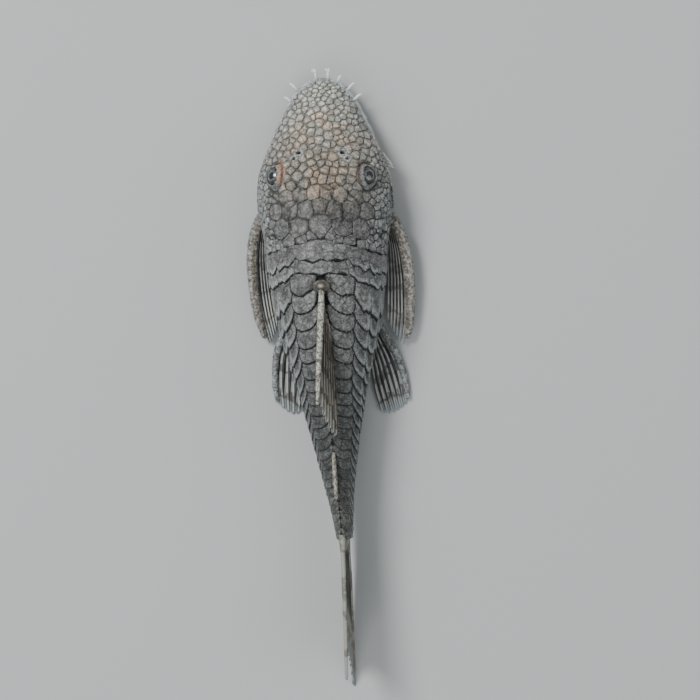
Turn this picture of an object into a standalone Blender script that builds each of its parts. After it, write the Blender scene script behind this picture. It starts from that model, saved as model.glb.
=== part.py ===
"""A bristlenose pleco at life size, as a still model that rests on its lips, belly and pelvic fins.

Sizes are in millimetres and MM turns them into Blender's metres. Distances run from the tip of the snout
towards the tail (+Y), the fish's left is +X, and the floor is z = 0. The body bends gently to its right
towards the tail. At the end the whole model is moved so that the middle of its box is over the origin.
"""

import math

import bmesh
import bpy
import numpy as np
from mathutils import Matrix, Vector

MM = 0.001

SIDES = ((1, "left"), (-1, "right"))

# Driving sizes
STANDARD_LENGTH = 82.3
TOTAL_LENGTH = 110.0
GAP = 0.3
FIN_THICKNESS = 0.6
RING_POINTS = 32

# Where the body is parted
HEAD_ENDS_AT_FLANK = 24.6
HEAD_ENDS_AT_CROWN = 29.5
TRUNK_ENDS = 57.0

# Distance, half width, underside, level of the widest point, back, roundness above, roundness below
BODY_STATIONS = (
    (0.0, 0.0, 2.3, 2.3, 2.3, 2.0, 2.4),
    (0.4, 2.2, 1.8, 2.4, 3.5, 2.0, 2.4),
    (2.1, 4.6, 1.6, 2.6, 5.2, 2.0, 2.8),
    (6.6, 7.4, 1.5, 3.0, 7.8, 2.0, 3.2),
    (11.8, 9.7, 1.5, 3.4, 10.1, 2.1, 3.4),
    (15.5, 11.1, 0.3, 3.6, 11.5, 2.1, 3.4),
    (18.3, 12.0, -0.1, 3.8, 12.3, 2.1, 3.4),
    (22.5, 12.2, -0.1, 4.1, 13.4, 2.1, 3.4),
    (29.5, 11.1, -0.1, 4.5, 14.8, 2.0, 3.2),
    (37.0, 10.3, -0.1, 4.8, 15.6, 1.9, 3.0),
    (43.0, 9.3, -0.1, 5.0, 14.8, 1.9, 2.8),
    (48.0, 8.2, 0.5, 5.2, 14.0, 1.9, 2.6),
    (57.0, 5.9, 1.9, 5.8, 12.8, 2.0, 2.4),
    (68.0, 3.5, 2.7, 6.4, 11.7, 2.1, 2.3),
    (76.0, 2.1, 2.6, 6.6, 11.3, 2.1, 2.2),
    (82.3, 1.3, 2.2, 6.8, 11.8, 2.1, 2.2),
)

# How far the midline bends towards the fish's right, at distances from the snout
BEND_STATIONS = ((0.0, 0.0), (30.0, 0.8), (50.0, 1.6), (70.0, 3.1), (82.3, 4.3), (110.0, 5.4))

# Eyes
EYE_DISTANCE = 18.3
EYE_ASIDE = 8.3
EYE_RADIUS = 2.15
EYE_DEPTH = 1.0

# Gill covers
GILL_COVER_DISTANCE = 19.8
GILL_COVER_LEVEL = 6.2
GILL_COVER_RADII = (2.0, 4.0, 3.0)
GILL_COVER_DEPTH = 0.9

# Sucker mouth
MOUTH_DISTANCE = 6.8
MOUTH_HALF_WIDTH = 5.9
MOUTH_HALF_LENGTH = 5.3
MOUTH_THICKNESS = 1.2
MOUTH_OPENING = (2.8, 1.5, 0.75)

# Bristles: distance, place aside (+ is left), length, degrees from straight ahead (+ is left), forked
BRISTLES = (
    (0.5, 1.0, 2.1, 17.0, True),
    (0.5, -0.9, 2.1, -8.0, True),
    (0.7, -2.7, 1.2, -32.0, False),
    (2.3, -4.5, 1.8, -46.0, False),
    (4.1, -5.8, 1.6, -54.0, False),
    (2.3, 4.6, 1.9, 50.0, False),
    (4.3, 5.9, 1.3, 58.0, False),
)
BRISTLE_RADIUS = 0.28
BRISTLE_RISE = 14.0
FORK_LENGTH = 0.8
FORK_SPREAD = 38.0

# Spines on the cheeks: distance, level; the right ones stand out further, as when they are spread
CHEEK_SPINES = ((13.9, 4.6), (14.9, 4.2), (15.9, 3.9))
CHEEK_SPINE_LENGTH = {1: 1.1, -1: 1.7}
CHEEK_SPINE_SWEEP = {1: 150.0, -1: 118.0}
CHEEK_SPINE_FAN = 14.0

# Paired fins: the spine and the innermost ray as (distance, aside, level), for the left fin
PECTORAL_SPINE = (
    (25.6, 11.9, 3.6),
    (28.6, 13.1, 3.4),
    (33.2, 13.7, 3.0),
    (38.2, 13.6, 2.5),
    (43.2, 13.0, 2.0),
    (46.6, 12.1, 1.6),
)
PECTORAL_INNER_RAY = ((30.6, 11.4, 1.8), (34.0, 11.1, 1.5), (38.0, 10.8, 1.1), (42.0, 10.8, 0.8))
PECTORAL_SPINE_RADII = (1.0, 1.0, 0.95, 0.85, 0.75, 0.45)
PECTORAL_SPREAD = {1: 0.0, -1: 4.5}
PELVIC_SPINE = ((42.0, 7.2, 0.75), (46.3, 9.0, 0.7), (50.7, 10.6, 0.65), (55.2, 11.1, 0.6), (59.4, 10.7, 0.6))
PELVIC_INNER_RAY = ((47.6, 6.6, 0.32), (51.0, 6.4, 0.31), (55.0, 6.2, 0.3), (60.3, 6.9, 0.3))
PELVIC_SPINE_RADII = (0.6, 0.6, 0.6, 0.55, 0.45)
PELVIC_SPREAD = {1: 0.0, -1: 9.0}

PAIRED_FINS = {
    "pectoral": (PECTORAL_SPINE, PECTORAL_INNER_RAY, PECTORAL_SPINE_RADII, PECTORAL_SPREAD),
    "pelvic": (PELVIC_SPINE, PELVIC_INNER_RAY, PELVIC_SPINE_RADII, PELVIC_SPREAD),
}

# Fins on the midline, as (distance, aside, level)
DORSAL_SPINE = ((36.7, 0.0, 15.9), (38.6, 0.0, 16.2), (44.0, 0.3, 16.6), (51.0, 0.9, 17.0), (58.4, 1.6, 17.2))
DORSAL_SPINE_RADII = (1.35, 0.9, 0.8, 0.7, 0.45)
DORSAL_ROOT = ((42.5, 0.0, 15.3), (49.0, 0.0, 14.25))
DORSAL_TIPS = ((57.2, 1.45, 15.9), (64.8, 0.1, 12.9))
ADIPOSE_ROOT = ((67.4, 0.0, 12.1), (73.4, 0.0, 11.75))
ADIPOSE_TIPS = ((74.8, 0.1, 13.9), (75.2, 0.1, 12.2))
ANAL_ROOT = ((57.6, 0.0, 1.6), (61.5, 0.0, 2.0))
ANAL_TIPS = ((67.8, 0.0, 0.5), (67.0, 0.0, 2.0))
CAUDAL_LEVELS = (0.0, 3.4, 6.8, 10.2, 13.8)
CAUDAL_TIP_DISTANCES = (110.0, 105.0, 102.8, 103.6, 107.0)
CAUDAL_ROOT_LEVELS = (2.3, 11.7)
CAUDAL_THICKNESS = 1.0

# Colours as red, green, blue, with roughness
COLOURS = {
    "skin": ((0.150, 0.145, 0.135), 0.55),
    "spine": ((0.330, 0.325, 0.300), 0.5),
    "fin": ((0.120, 0.130, 0.125), 0.5),
    "lips": ((0.300, 0.280, 0.250), 0.6),
    "eye": ((0.020, 0.024, 0.030), 0.12),
}

materials = {}
model = bpy.data.collections.new("bristlenose_pleco")
cutters = bpy.data.collections.new("cutters")


def clear_scene():
    for thing in list(bpy.data.objects):
        bpy.data.objects.remove(thing)
    for collection in (model, cutters):
        bpy.context.scene.collection.children.link(collection)
    cutters.hide_render = True


def make_materials():
    for name, (colour, roughness) in COLOURS.items():
        material = bpy.data.materials.new(name)
        material.use_nodes = True
        shader = material.node_tree.nodes["Principled BSDF"]
        shader.inputs["Base Color"].default_value = (*colour, 1.0)
        shader.inputs["Roughness"].default_value = roughness
        shader.inputs["Metallic"].default_value = 0.0
        materials[name] = material


# The body's shape


def smooth_curve(places, values):
    """A function through the values that bends smoothly and never overshoots them."""
    places, values = np.array(places), np.array(values)
    steps = np.diff(places)
    slopes = np.diff(values) / steps
    tangents = np.zeros(len(places))
    tangents[0], tangents[-1] = slopes[0], slopes[-1]
    for i in range(1, len(slopes)):
        if slopes[i - 1] * slopes[i] > 0:
            before, after = 2 * steps[i] + steps[i - 1], steps[i] + 2 * steps[i - 1]
            tangents[i] = (before + after) / (before / slopes[i - 1] + after / slopes[i])

    def value_at(place):
        i = int(np.clip(np.searchsorted(places, place) - 1, 0, len(steps) - 1))
        t = (place - places[i]) / steps[i]
        start, end = values[i], values[i + 1]
        return (
            start * (1 + 2 * t) * (1 - t) ** 2
            + end * t * t * (3 - 2 * t)
            + steps[i] * t * (1 - t) * (tangents[i] * (1 - t) - tangents[i + 1] * t)
        )

    return value_at


# The blunt snout needs its stations close together, so the curves run on the root of the distance.
STATION_ROOTS = [math.sqrt(station[0]) for station in BODY_STATIONS]
BODY_CURVES = [
    smooth_curve(STATION_ROOTS, [station[column] for station in BODY_STATIONS]) for column in range(1, 7)
]
BEND_CURVE = smooth_curve(*zip(*BEND_STATIONS))


def section(distance):
    """Half width, underside, widest level, back, roundness above and roundness below."""
    return [curve(math.sqrt(max(distance, 0.0))) for curve in BODY_CURVES]


def midline(distance):
    return -BEND_CURVE(min(max(distance, 0.0), TOTAL_LENGTH))


def mound(distance, aside, centre, spread):
    """1 at the centre of a smooth rise or hollow, and nearly 0 past twice its spread."""
    along = (distance - centre[0]) / spread[0]
    across = (abs(aside) - centre[1]) / spread[1]
    return math.exp(-along * along - across * across)


def head_relief(distance, aside):
    brow = 0.7 * mound(distance, aside, (17.6, 6.6), (3.6, 1.7))
    crest = 0.35 * mound(distance, aside, (26.5, 0.0), (3.5, 2.6))
    nostril = 0.3 * mound(distance, aside, (14.3, 4.0), (1.3, 1.1))
    return brow + crest - nostril


def body_point(distance, turn):
    """A point of the body's surface. The turn is 0 on the back and a quarter turn on the left flank."""
    half, under, widest, back, rounded_above, rounded_below = section(distance)
    across, up = math.sin(turn), math.cos(turn)
    power = 2 / (rounded_above if up > 0 else rounded_below)
    aside = half * math.copysign(abs(across) ** power, across)
    rise = abs(up) ** power
    if up > 0:
        level = widest + (back - widest + head_relief(distance, aside)) * rise
    else:
        level = widest - (widest - under) * rise
    return Vector((midline(distance) + aside, distance, max(level, 0.0)))


def back_level(distance, aside=0.0):
    """The level of the upper surface at a place aside of the midline."""
    half, _, widest, back, rounded, _ = section(distance)
    rise = (1 - min(abs(aside) / half, 1.0) ** rounded) ** (1 / rounded)
    return widest + (back - widest + head_relief(distance, aside)) * rise


def back_normal(distance, aside):
    step = 0.2
    along = Vector((0, 2 * step, back_level(distance + step, aside) - back_level(distance - step, aside)))
    across = Vector((2 * step, 0, back_level(distance, aside + step) - back_level(distance, aside - step)))
    return across.cross(along).normalized()


def placed(distance, aside, level):
    """A point given by its distance, its place aside of the bent midline and its level."""
    return Vector((midline(distance) + aside, distance, level))


def path_through(points, count):
    """Evenly spaced points on a smooth curve through the given ones."""
    points = [Vector(point) for point in points]
    places = np.concatenate([[0.0], np.cumsum([(b - a).length for a, b in zip(points, points[1:])])])
    curves = [smooth_curve(places, [point[axis] for point in points]) for axis in range(3)]
    return [Vector([curve(place) for curve in curves]) for place in np.linspace(0, places[-1], count)]


# Making solids


def new_object(name, mesh, material, collection=None):
    made = bpy.data.objects.new(name, mesh)
    mesh.materials.append(materials[material])
    (collection or model).objects.link(made)
    if collection is cutters:
        made.hide_render = True
        made.display_type = "WIRE"
    return made


def shade(thing, angle=40.0):
    thing.data.shade_smooth()
    thing.data.set_sharp_from_angle(angle=math.radians(angle))


def loft(name, rings, first_pole, last_pole, material):
    """A closed solid over rings of points, with a point at each end."""
    mesh = bpy.data.meshes.new(name)
    made = bmesh.new()
    loops = [[made.verts.new(point * MM) for point in ring] for ring in rings]
    around = len(rings[0])
    for ring, following in zip(loops, loops[1:]):
        for i in range(around):
            j = (i + 1) % around
            made.faces.new((ring[i], ring[j], following[j], following[i]))
    for ring, pole in ((loops[0], first_pole), (loops[-1], last_pole)):
        tip = made.verts.new(pole * MM)
        for i in range(around):
            made.faces.new((ring[i], ring[(i + 1) % around], tip))
    bmesh.ops.recalc_face_normals(made, faces=made.faces)
    made.to_mesh(mesh)
    made.free()
    thing = new_object(name, mesh, material)
    shade(thing)
    return thing


def rod(name, points, radii, material, collection=None, sides=2):
    """A tapered rod along a path, as a welded mesh. The radii are spread along it."""
    line = bpy.data.curves.new(name, "CURVE")
    line.dimensions = "3D"
    line.bevel_depth = MM
    line.bevel_resolution = sides
    line.use_fill_caps = True
    spline = line.splines.new("POLY")
    spline.points.add(len(points) - 1)
    spread = np.interp(np.linspace(0, 1, len(points)), np.linspace(0, 1, len(radii)), radii)
    for knot, point, radius in zip(spline.points, points, spread):
        knot.co = (*(point * MM), 1.0)
        knot.radius = radius
    drawn = bpy.data.objects.new(name + "_line", line)
    bpy.context.scene.collection.objects.link(drawn)
    mesh = bpy.data.meshes.new_from_object(drawn.evaluated_get(bpy.context.evaluated_depsgraph_get()))
    bpy.data.objects.remove(drawn)
    welded = bmesh.new()
    welded.from_mesh(mesh)
    bmesh.ops.remove_doubles(welded, verts=welded.verts, dist=0.001 * MM)
    bmesh.ops.recalc_face_normals(welded, faces=welded.faces)
    welded.to_mesh(mesh)
    welded.free()
    thing = new_object(name, mesh, material, collection)
    shade(thing)
    return thing


def sheet(name, surface, across, along, thickness, material="fin"):
    """A thin solid over surface(u, v), with u across the rays and v from root to tip."""
    mesh = bpy.data.meshes.new(name)
    made = bmesh.new()
    grid = []
    for i in range(across + 1):
        grid.append([made.verts.new(surface(i / across, j / along) * MM) for j in range(along + 1)])
    for i in range(across):
        for j in range(along):
            made.faces.new((grid[i][j], grid[i + 1][j], grid[i + 1][j + 1], grid[i][j + 1]))
    bmesh.ops.recalc_face_normals(made, faces=made.faces)
    made.to_mesh(mesh)
    made.free()
    thing = new_object(name, mesh, material)
    wall = thing.modifiers.new("Thickness", "SOLIDIFY")
    wall.thickness = thickness * MM
    wall.offset = 0.0
    wall.use_even_offset = True
    shade(thing, 60.0)
    return thing


def ball(name, centre, radii, segments, material, collection=None):
    bpy.ops.mesh.primitive_uv_sphere_add(segments=segments, ring_count=segments // 2, radius=1.0)
    drawn = bpy.context.active_object
    mesh = drawn.data
    bpy.data.objects.remove(drawn)
    mesh.transform(Matrix.Translation(centre * MM) @ Matrix.Diagonal((*(Vector(radii) * MM), 1.0)))
    mesh.name = name
    thing = new_object(name, mesh, material, collection)
    shade(thing)
    return thing


def boolean(thing, operation, other):
    cut = thing.modifiers.new(operation.capitalize() + "_" + other.name, "BOOLEAN")
    cut.operation = operation
    cut.object = other


def joined(name, things, material):
    """Several separate cutters as one cutter."""
    made = bmesh.new()
    for thing in things:
        made.from_mesh(thing.data)
        bpy.data.objects.remove(thing)
    mesh = bpy.data.meshes.new(name)
    made.to_mesh(mesh)
    made.free()
    return new_object(name, mesh, material, cutters)


# The body: head, trunk and tail, lofted through rings and parted by two thin cuts


def around(function):
    return [function(math.tau * i / RING_POINTS) for i in range(RING_POINTS)]


def head_end(turn):
    """The head reaches further back over the crown than along the flanks."""
    share = max(math.cos(turn), 0.0) ** 1.5
    return HEAD_ENDS_AT_FLANK + (HEAD_ENDS_AT_CROWN - HEAD_ENDS_AT_FLANK) * share


def make_head():
    steps = 20
    shares = [(i / steps) ** 2 for i in range(1, steps + 1)]
    rings = [around(lambda turn: body_point(head_end(turn) * share, turn)) for share in shares]
    snout = body_point(0.0, 0.0)
    back = placed(HEAD_ENDS_AT_FLANK, 0.0, section(HEAD_ENDS_AT_FLANK)[2])
    head = loft("head", rings, snout, back, "skin")
    for side, name in SIDES:
        make_gill_cover(head, side, name)
        make_eye(head, side, name)
    add_bristles(head)
    add_cheek_spines(head)


def make_trunk():
    steps = 16

    def ring(share):
        def point(turn):
            start = head_end(turn) + GAP
            return body_point(start + (TRUNK_ENDS - start) * share, turn)

        return around(point)

    rings = [ring(i / steps) for i in range(steps + 1)]
    front = placed(HEAD_ENDS_AT_FLANK + GAP, 0.0, section(HEAD_ENDS_AT_FLANK)[2])
    return loft("trunk", rings, front, placed(TRUNK_ENDS, 0.0, section(TRUNK_ENDS)[2]), "skin")


def make_tail():
    start, steps = TRUNK_ENDS + GAP, 12
    places = np.linspace(start, STANDARD_LENGTH, steps + 1)
    rings = [around(lambda turn: body_point(place, turn)) for place in places]
    poles = [placed(place, 0.0, section(place)[2]) for place in (start, STANDARD_LENGTH)]
    return loft("tail_stalk", rings, *poles, "skin")


# On the head: eyes, gill covers, bristles, cheek spines and the sucker mouth


def make_eye(head, side, name):
    """A ball sunk in a socket that is wider by the gap."""
    aside = side * EYE_ASIDE
    surface = placed(EYE_DISTANCE, aside, back_level(EYE_DISTANCE, aside))
    centre = surface - back_normal(EYE_DISTANCE, aside) * EYE_DEPTH
    ball("eye_" + name, centre, [EYE_RADIUS] * 3, 20, "eye")
    socket = ball("eye_socket_" + name, centre, [EYE_RADIUS + GAP] * 3, 20, "skin", cutters)
    boolean(head, "DIFFERENCE", socket)


def make_gill_cover(head, side, name):
    """A lens of the cheek's own surface, parted from the head by a thin cut."""
    half, _, widest, back, rounded, _ = section(GILL_COVER_DISTANCE)
    height = (GILL_COVER_LEVEL - widest) / (back - widest)
    aside = half * (1 - height**rounded) ** (1 / rounded)
    across = GILL_COVER_RADII[0] - GILL_COVER_DEPTH
    centre = placed(GILL_COVER_DISTANCE, side * (aside + across), GILL_COVER_LEVEL)
    radii = Vector(GILL_COVER_RADII)
    cover = head.copy()
    cover.data = head.data.copy()
    cover.name = "gill_cover_" + name
    model.objects.link(cover)
    boolean(cover, "INTERSECT", ball("gill_lens_" + name, centre, radii, 24, "skin", cutters))
    grown = radii + Vector((GAP, GAP, GAP))
    boolean(head, "DIFFERENCE", ball("gill_slit_" + name, centre, grown, 24, "skin", cutters))


def heading_vector(side_degrees, rise_degrees):
    """Straight ahead is -Y, and a positive heading turns towards the fish's left."""
    heading, rise = math.radians(side_degrees), math.radians(rise_degrees)
    return Vector((math.sin(heading) * math.cos(rise), -math.cos(heading) * math.cos(rise), math.sin(rise)))


def add_bristles(head):
    """Short soft bristles on the snout's rim, two of them forked."""
    stems, forks = [], []
    for number, (distance, aside, length, heading, forked) in enumerate(BRISTLES):
        inner = math.copysign(min(abs(aside), section(distance)[0] * 0.93), aside)
        root = placed(distance, inner, back_level(distance, inner))
        ahead = heading_vector(heading, BRISTLE_RISE)
        path, taper = [root - ahead * 0.9, root + ahead * length], (BRISTLE_RADIUS * 1.3, BRISTLE_RADIUS)
        stems.append(rod(f"bristle_{number}", path, taper, "skin", cutters, 1))
        if forked:
            crotch = root + ahead * length * 0.6
            branch = crotch + heading_vector(heading + FORK_SPREAD, BRISTLE_RISE) * FORK_LENGTH * 1.4
            forks.append(rod(f"fork_{number}", [crotch, branch], (BRISTLE_RADIUS,) * 2, "skin", cutters, 1))
    boolean(head, "UNION", joined("bristles", stems, "skin"))
    boolean(head, "UNION", joined("forks", forks, "skin"))


def add_cheek_spines(head):
    """The bunch of spines on each cheek, a pair at a time because the spines of a bunch run together."""
    for number, (distance, level) in enumerate(CHEEK_SPINES):
        pair = []
        for side in (1, -1):
            root = placed(distance, side * section(distance)[0] * 0.98, level)
            out = heading_vector(side * (CHEEK_SPINE_SWEEP[side] - CHEEK_SPINE_FAN * number), 6.0)
            points = [root - out * 0.8, root + out * CHEEK_SPINE_LENGTH[side]]
            pair.append(rod(f"cheek_spine_{number}_{side}", points, (0.4, 0.26), "skin", cutters, 1))
        boolean(head, "UNION", joined(f"cheek_spines_{number}", pair, "skin"))


def make_mouth():
    """The sucker: a flat oval of lips with the mouth in its middle, and a barbel at each corner."""
    bpy.ops.mesh.primitive_cylinder_add(vertices=36, radius=1.0, depth=1.0)
    drawn = bpy.context.active_object
    mesh = drawn.data
    bpy.data.objects.remove(drawn)
    size = Vector((MOUTH_HALF_WIDTH, MOUTH_HALF_LENGTH, MOUTH_THICKNESS)) * MM
    centre = placed(MOUTH_DISTANCE, 0.0, MOUTH_THICKNESS / 2) * MM
    mesh.transform(Matrix.Translation(centre) @ Matrix.Diagonal((*size, 1.0)))
    lips = new_object("mouth_disc", mesh, "lips")
    opening = placed(MOUTH_DISTANCE + 0.2, 0.0, 0.0)
    boolean(lips, "DIFFERENCE", ball("mouth_opening", opening, MOUTH_OPENING, 24, "lips", cutters))
    rounding = lips.modifiers.new("Rounding", "BEVEL")
    rounding.width = 0.35 * MM
    rounding.segments = 2
    rounding.limit_method = "ANGLE"
    rounding.angle_limit = math.radians(60)
    shade(lips)
    for side, name in SIDES:
        corner = placed(MOUTH_DISTANCE + 2.6, side * (MOUTH_HALF_WIDTH + 0.05), 0.7)
        tip = placed(MOUTH_DISTANCE + 5.0, side * (MOUTH_HALF_WIDTH + 2.5), 0.4)
        middle = (corner + tip) / 2 + Vector((side * 0.25, -0.3, 0.0))
        rod("barbel_" + name, path_through([corner, middle, tip], 6), (0.38, 0.34, 0.25), "lips")


# Fins


def spread_out(point, pivot, side, degrees):
    """A left fin's (distance, aside, level) as a point on either side, turned outwards about its root."""
    turn = math.radians(degrees)
    along, across = point[0] - pivot[0], point[1] - pivot[1]
    distance = pivot[0] + along * math.cos(turn) - across * math.sin(turn)
    aside = pivot[1] + along * math.sin(turn) + across * math.cos(turn)
    return placed(distance, side * aside, point[2])


def as_curve(points):
    def at(share):
        place = min(max(share, 0.0), 1.0) * (len(points) - 1)
        i = min(int(place), len(points) - 2)
        return points[i].lerp(points[i + 1], place - i)

    return at


def make_paired_fin(kind, side, name, trunk):
    """A stout leading spine with the rayed blade beside it; the trunk is cut away round the spine's root."""
    spine, inner, radii, spreads = PAIRED_FINS[kind]
    pivot, spread = spine[0], spreads[side]
    outer_path = path_through([spread_out(point, pivot, side, spread) for point in spine], 14)
    inner_path = path_through([spread_out(point, pivot, side, spread * 0.5) for point in inner], 14)
    rod(f"{kind}_spine_{name}", outer_path, radii, "spine")
    grown = [radius + GAP for radius in radii]
    boolean(trunk, "DIFFERENCE", rod(f"{kind}_seat_{name}", outer_path[:6], grown, "skin", cutters))
    outer_curve, inner_curve = as_curve(outer_path), as_curve(inner_path)
    clearance = max(radii) + GAP + 0.12

    def surface(u, v):
        share = 0.25 + 0.72 * v
        ahead = outer_curve(share + 0.03) - outer_curve(share - 0.03)
        inwards = Vector((-side * ahead.y, side * ahead.x, 0.0)).normalized()
        edge, inner_edge = outer_curve(share) + inwards * clearance, inner_curve(v)
        edge.z = max((edge.z + inner_edge.z) / 2 - 0.3, FIN_THICKNESS / 2)
        return edge.lerp(inner_edge, u)

    sheet(f"{kind}_fin_{name}", surface, 6, 12, FIN_THICKNESS)


def make_fold(name, root, tips, thickness, across, along):
    """A fin on the midline, folded back: its rays run from a short root line to its tips."""
    roots = [placed(*point) for point in root]
    ends = [placed(*point) for point in tips]

    def surface(u, v):
        return roots[0].lerp(roots[1], u).lerp(ends[0].lerp(ends[1], u), v)

    sheet(name, surface, across, along, thickness)


def make_dorsal_fin(trunk):
    path = path_through([placed(*point) for point in DORSAL_SPINE], 14)
    rod("dorsal_spine", path, DORSAL_SPINE_RADII, "spine")
    grown = [radius + GAP for radius in DORSAL_SPINE_RADII[:2]]
    boolean(trunk, "DIFFERENCE", rod("dorsal_seat", path[:4], grown, "skin", cutters))
    make_fold("dorsal_fin", DORSAL_ROOT, DORSAL_TIPS, FIN_THICKNESS, 6, 8)


def make_caudal_fin():
    """The closed tail fin, upright, with its lower lobe longer; its lower edge rests on the floor."""
    edge = smooth_curve(CAUDAL_LEVELS, CAUDAL_TIP_DISTANCES)
    low, high = CAUDAL_LEVELS[0], CAUDAL_LEVELS[-1]
    start = STANDARD_LENGTH + GAP

    def surface(u, v):
        tip_level = low + (high - low) * u
        distance = start + (edge(tip_level) - start) * v
        root_level = CAUDAL_ROOT_LEVELS[0] + (CAUDAL_ROOT_LEVELS[1] - CAUDAL_ROOT_LEVELS[0]) * u
        return placed(distance, 0.0, root_level + (tip_level - root_level) * math.sin(v * math.pi / 2))

    sheet("caudal_fin", surface, 10, 14, CAUDAL_THICKNESS)


def centre_on_floor():
    """Moves the whole model so that the middle of its box is over the origin and it stands on z = 0."""
    bpy.context.view_layer.update()
    graph = bpy.context.evaluated_depsgraph_get()
    corners = [
        thing.evaluated_get(graph).matrix_world @ Vector(corner)
        for thing in model.objects
        for corner in thing.evaluated_get(graph).bound_box
    ]
    low = Vector([min(corner[axis] for corner in corners) for axis in range(3)])
    high = Vector([max(corner[axis] for corner in corners) for axis in range(3)])
    shift = Vector((-(low.x + high.x) / 2, -(low.y + high.y) / 2, -low.z))
    for thing in [*model.objects, *cutters.objects]:
        thing.data.transform(Matrix.Translation(shift))


def main():
    clear_scene()
    make_materials()
    make_head()
    make_mouth()
    trunk = make_trunk()
    make_tail()
    for kind in PAIRED_FINS:
        for side, name in SIDES:
            make_paired_fin(kind, side, name, trunk)
    make_dorsal_fin(trunk)
    make_fold("adipose_fin", ADIPOSE_ROOT, ADIPOSE_TIPS, 0.8, 3, 5)
    make_fold("anal_fin", ANAL_ROOT, ANAL_TIPS, 0.7, 3, 6)
    make_caudal_fin()
    centre_on_floor()


main()
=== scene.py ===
"""The looks of a life-size bristlenose pleco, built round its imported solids.

Shapes are worked out in millimetres in the fish's own frame: distance from the tip of the snout towards the
tail (+Y), aside towards the fish's left (+X) and level above the floor (+Z). placed() turns them into metres
in the frame of the solids. Girth runs round the body from 0 on the back to 1 under the left side of the belly
and -1 under the right.
"""

import math

import bpy
import numpy as np
from mathutils import Matrix, Vector


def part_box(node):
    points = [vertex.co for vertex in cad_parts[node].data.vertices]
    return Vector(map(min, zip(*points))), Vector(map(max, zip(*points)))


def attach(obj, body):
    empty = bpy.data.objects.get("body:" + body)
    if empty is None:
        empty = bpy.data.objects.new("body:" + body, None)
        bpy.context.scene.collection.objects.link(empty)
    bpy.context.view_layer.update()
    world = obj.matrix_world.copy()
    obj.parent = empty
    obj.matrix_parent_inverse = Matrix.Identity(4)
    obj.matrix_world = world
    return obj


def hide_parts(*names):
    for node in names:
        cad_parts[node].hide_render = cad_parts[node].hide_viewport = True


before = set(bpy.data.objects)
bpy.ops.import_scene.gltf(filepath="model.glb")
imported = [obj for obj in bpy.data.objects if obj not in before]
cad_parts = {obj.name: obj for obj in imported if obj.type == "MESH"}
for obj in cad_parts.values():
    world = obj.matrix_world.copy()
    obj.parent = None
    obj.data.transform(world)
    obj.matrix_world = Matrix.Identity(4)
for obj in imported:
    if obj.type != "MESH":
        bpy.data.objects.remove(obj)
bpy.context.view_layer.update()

# The skin is one unbroken hide over head, gill covers, trunk and tail, in place of their solids. It is naked
# on the snout's rim and the belly, and thick round eyes and nostrils. Under the bony plates it is sunk by
# their thickness. In the grooves between them it is pale before the eyes and nearly black behind the head,
# partly its own colour and partly painted shade.
STANDARD_LENGTH = 82.3
MM = 0.001

# Distance, half width, underside, level of the widest point, back, roundness above, roundness below
BODY_STATIONS = (
    (0.0, 0.0, 2.3, 2.3, 2.3, 2.0, 2.4),
    (0.4, 2.2, 1.8, 2.4, 3.5, 2.0, 2.4),
    (2.1, 4.6, 1.6, 2.6, 5.2, 2.0, 2.8),
    (6.6, 7.4, 1.5, 3.0, 7.8, 2.0, 3.2),
    (11.8, 9.7, 1.5, 3.4, 10.1, 2.1, 3.4),
    (15.5, 11.1, 0.3, 3.6, 11.5, 2.1, 3.4),
    (18.3, 12.0, -0.1, 3.8, 12.3, 2.1, 3.4),
    (22.5, 12.2, -0.1, 4.1, 13.4, 2.1, 3.4),
    (29.5, 11.1, -0.1, 4.5, 14.8, 2.0, 3.2),
    (37.0, 10.3, -0.1, 4.8, 15.6, 1.9, 3.0),
    (43.0, 9.3, -0.1, 5.0, 14.8, 1.9, 2.8),
    (48.0, 8.2, 0.5, 5.2, 14.0, 1.9, 2.6),
    (57.0, 5.9, 1.9, 5.8, 12.8, 2.0, 2.4),
    (68.0, 3.5, 2.7, 6.4, 11.7, 2.1, 2.3),
    (76.0, 2.1, 2.6, 6.6, 11.3, 2.1, 2.2),
    (82.3, 1.3, 2.2, 6.8, 11.8, 2.1, 2.2),
)
# Distance and how far the midline is bent to the fish's right there
BEND_STATIONS = ((0.0, 0.0), (30.0, 0.8), (50.0, 1.6), (70.0, 3.1), (82.3, 4.3), (110.0, 5.4))


def smooth_curve(places, values):
    """A function through the values that bends smoothly and never overshoots them."""
    places, values = np.array(places, float), np.array(values, float)
    steps = np.diff(places)
    slopes = np.diff(values) / steps
    tangents = np.concatenate([slopes[:1], np.zeros(len(slopes) - 1), slopes[-1:]])
    for i in range(1, len(slopes)):
        if slopes[i - 1] * slopes[i] > 0:
            before, after = 2 * steps[i] + steps[i - 1], steps[i] + 2 * steps[i - 1]
            tangents[i] = (before + after) / (before / slopes[i - 1] + after / slopes[i])

    def value_at(place):
        place = np.clip(place, places[0], places[-1])
        i = np.clip(np.searchsorted(places, place) - 1, 0, len(steps) - 1)
        t = (place - places[i]) / steps[i]
        bend = steps[i] * t * (1 - t) * (tangents[i] * (1 - t) - tangents[i + 1] * t)
        return values[i] * (1 + 2 * t) * (1 - t) ** 2 + values[i + 1] * t * t * (3 - 2 * t) + bend

    return value_at


bend = smooth_curve(*zip(*BEND_STATIONS))


def midline(distance):
    """Where the bent midline of the fish lies across its frame."""
    return -bend(distance)


def bump(value, centre, spread):
    """1 at the centre and nearly 0 past twice the spread."""
    return np.exp(-(((value - centre) / spread) ** 2))


def ease(value):
    """0 up to 0, 1 from 1 on, and smooth between."""
    t = np.clip(value, 0.0, 1.0)
    return t * t * (3 - 2 * t)


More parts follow.
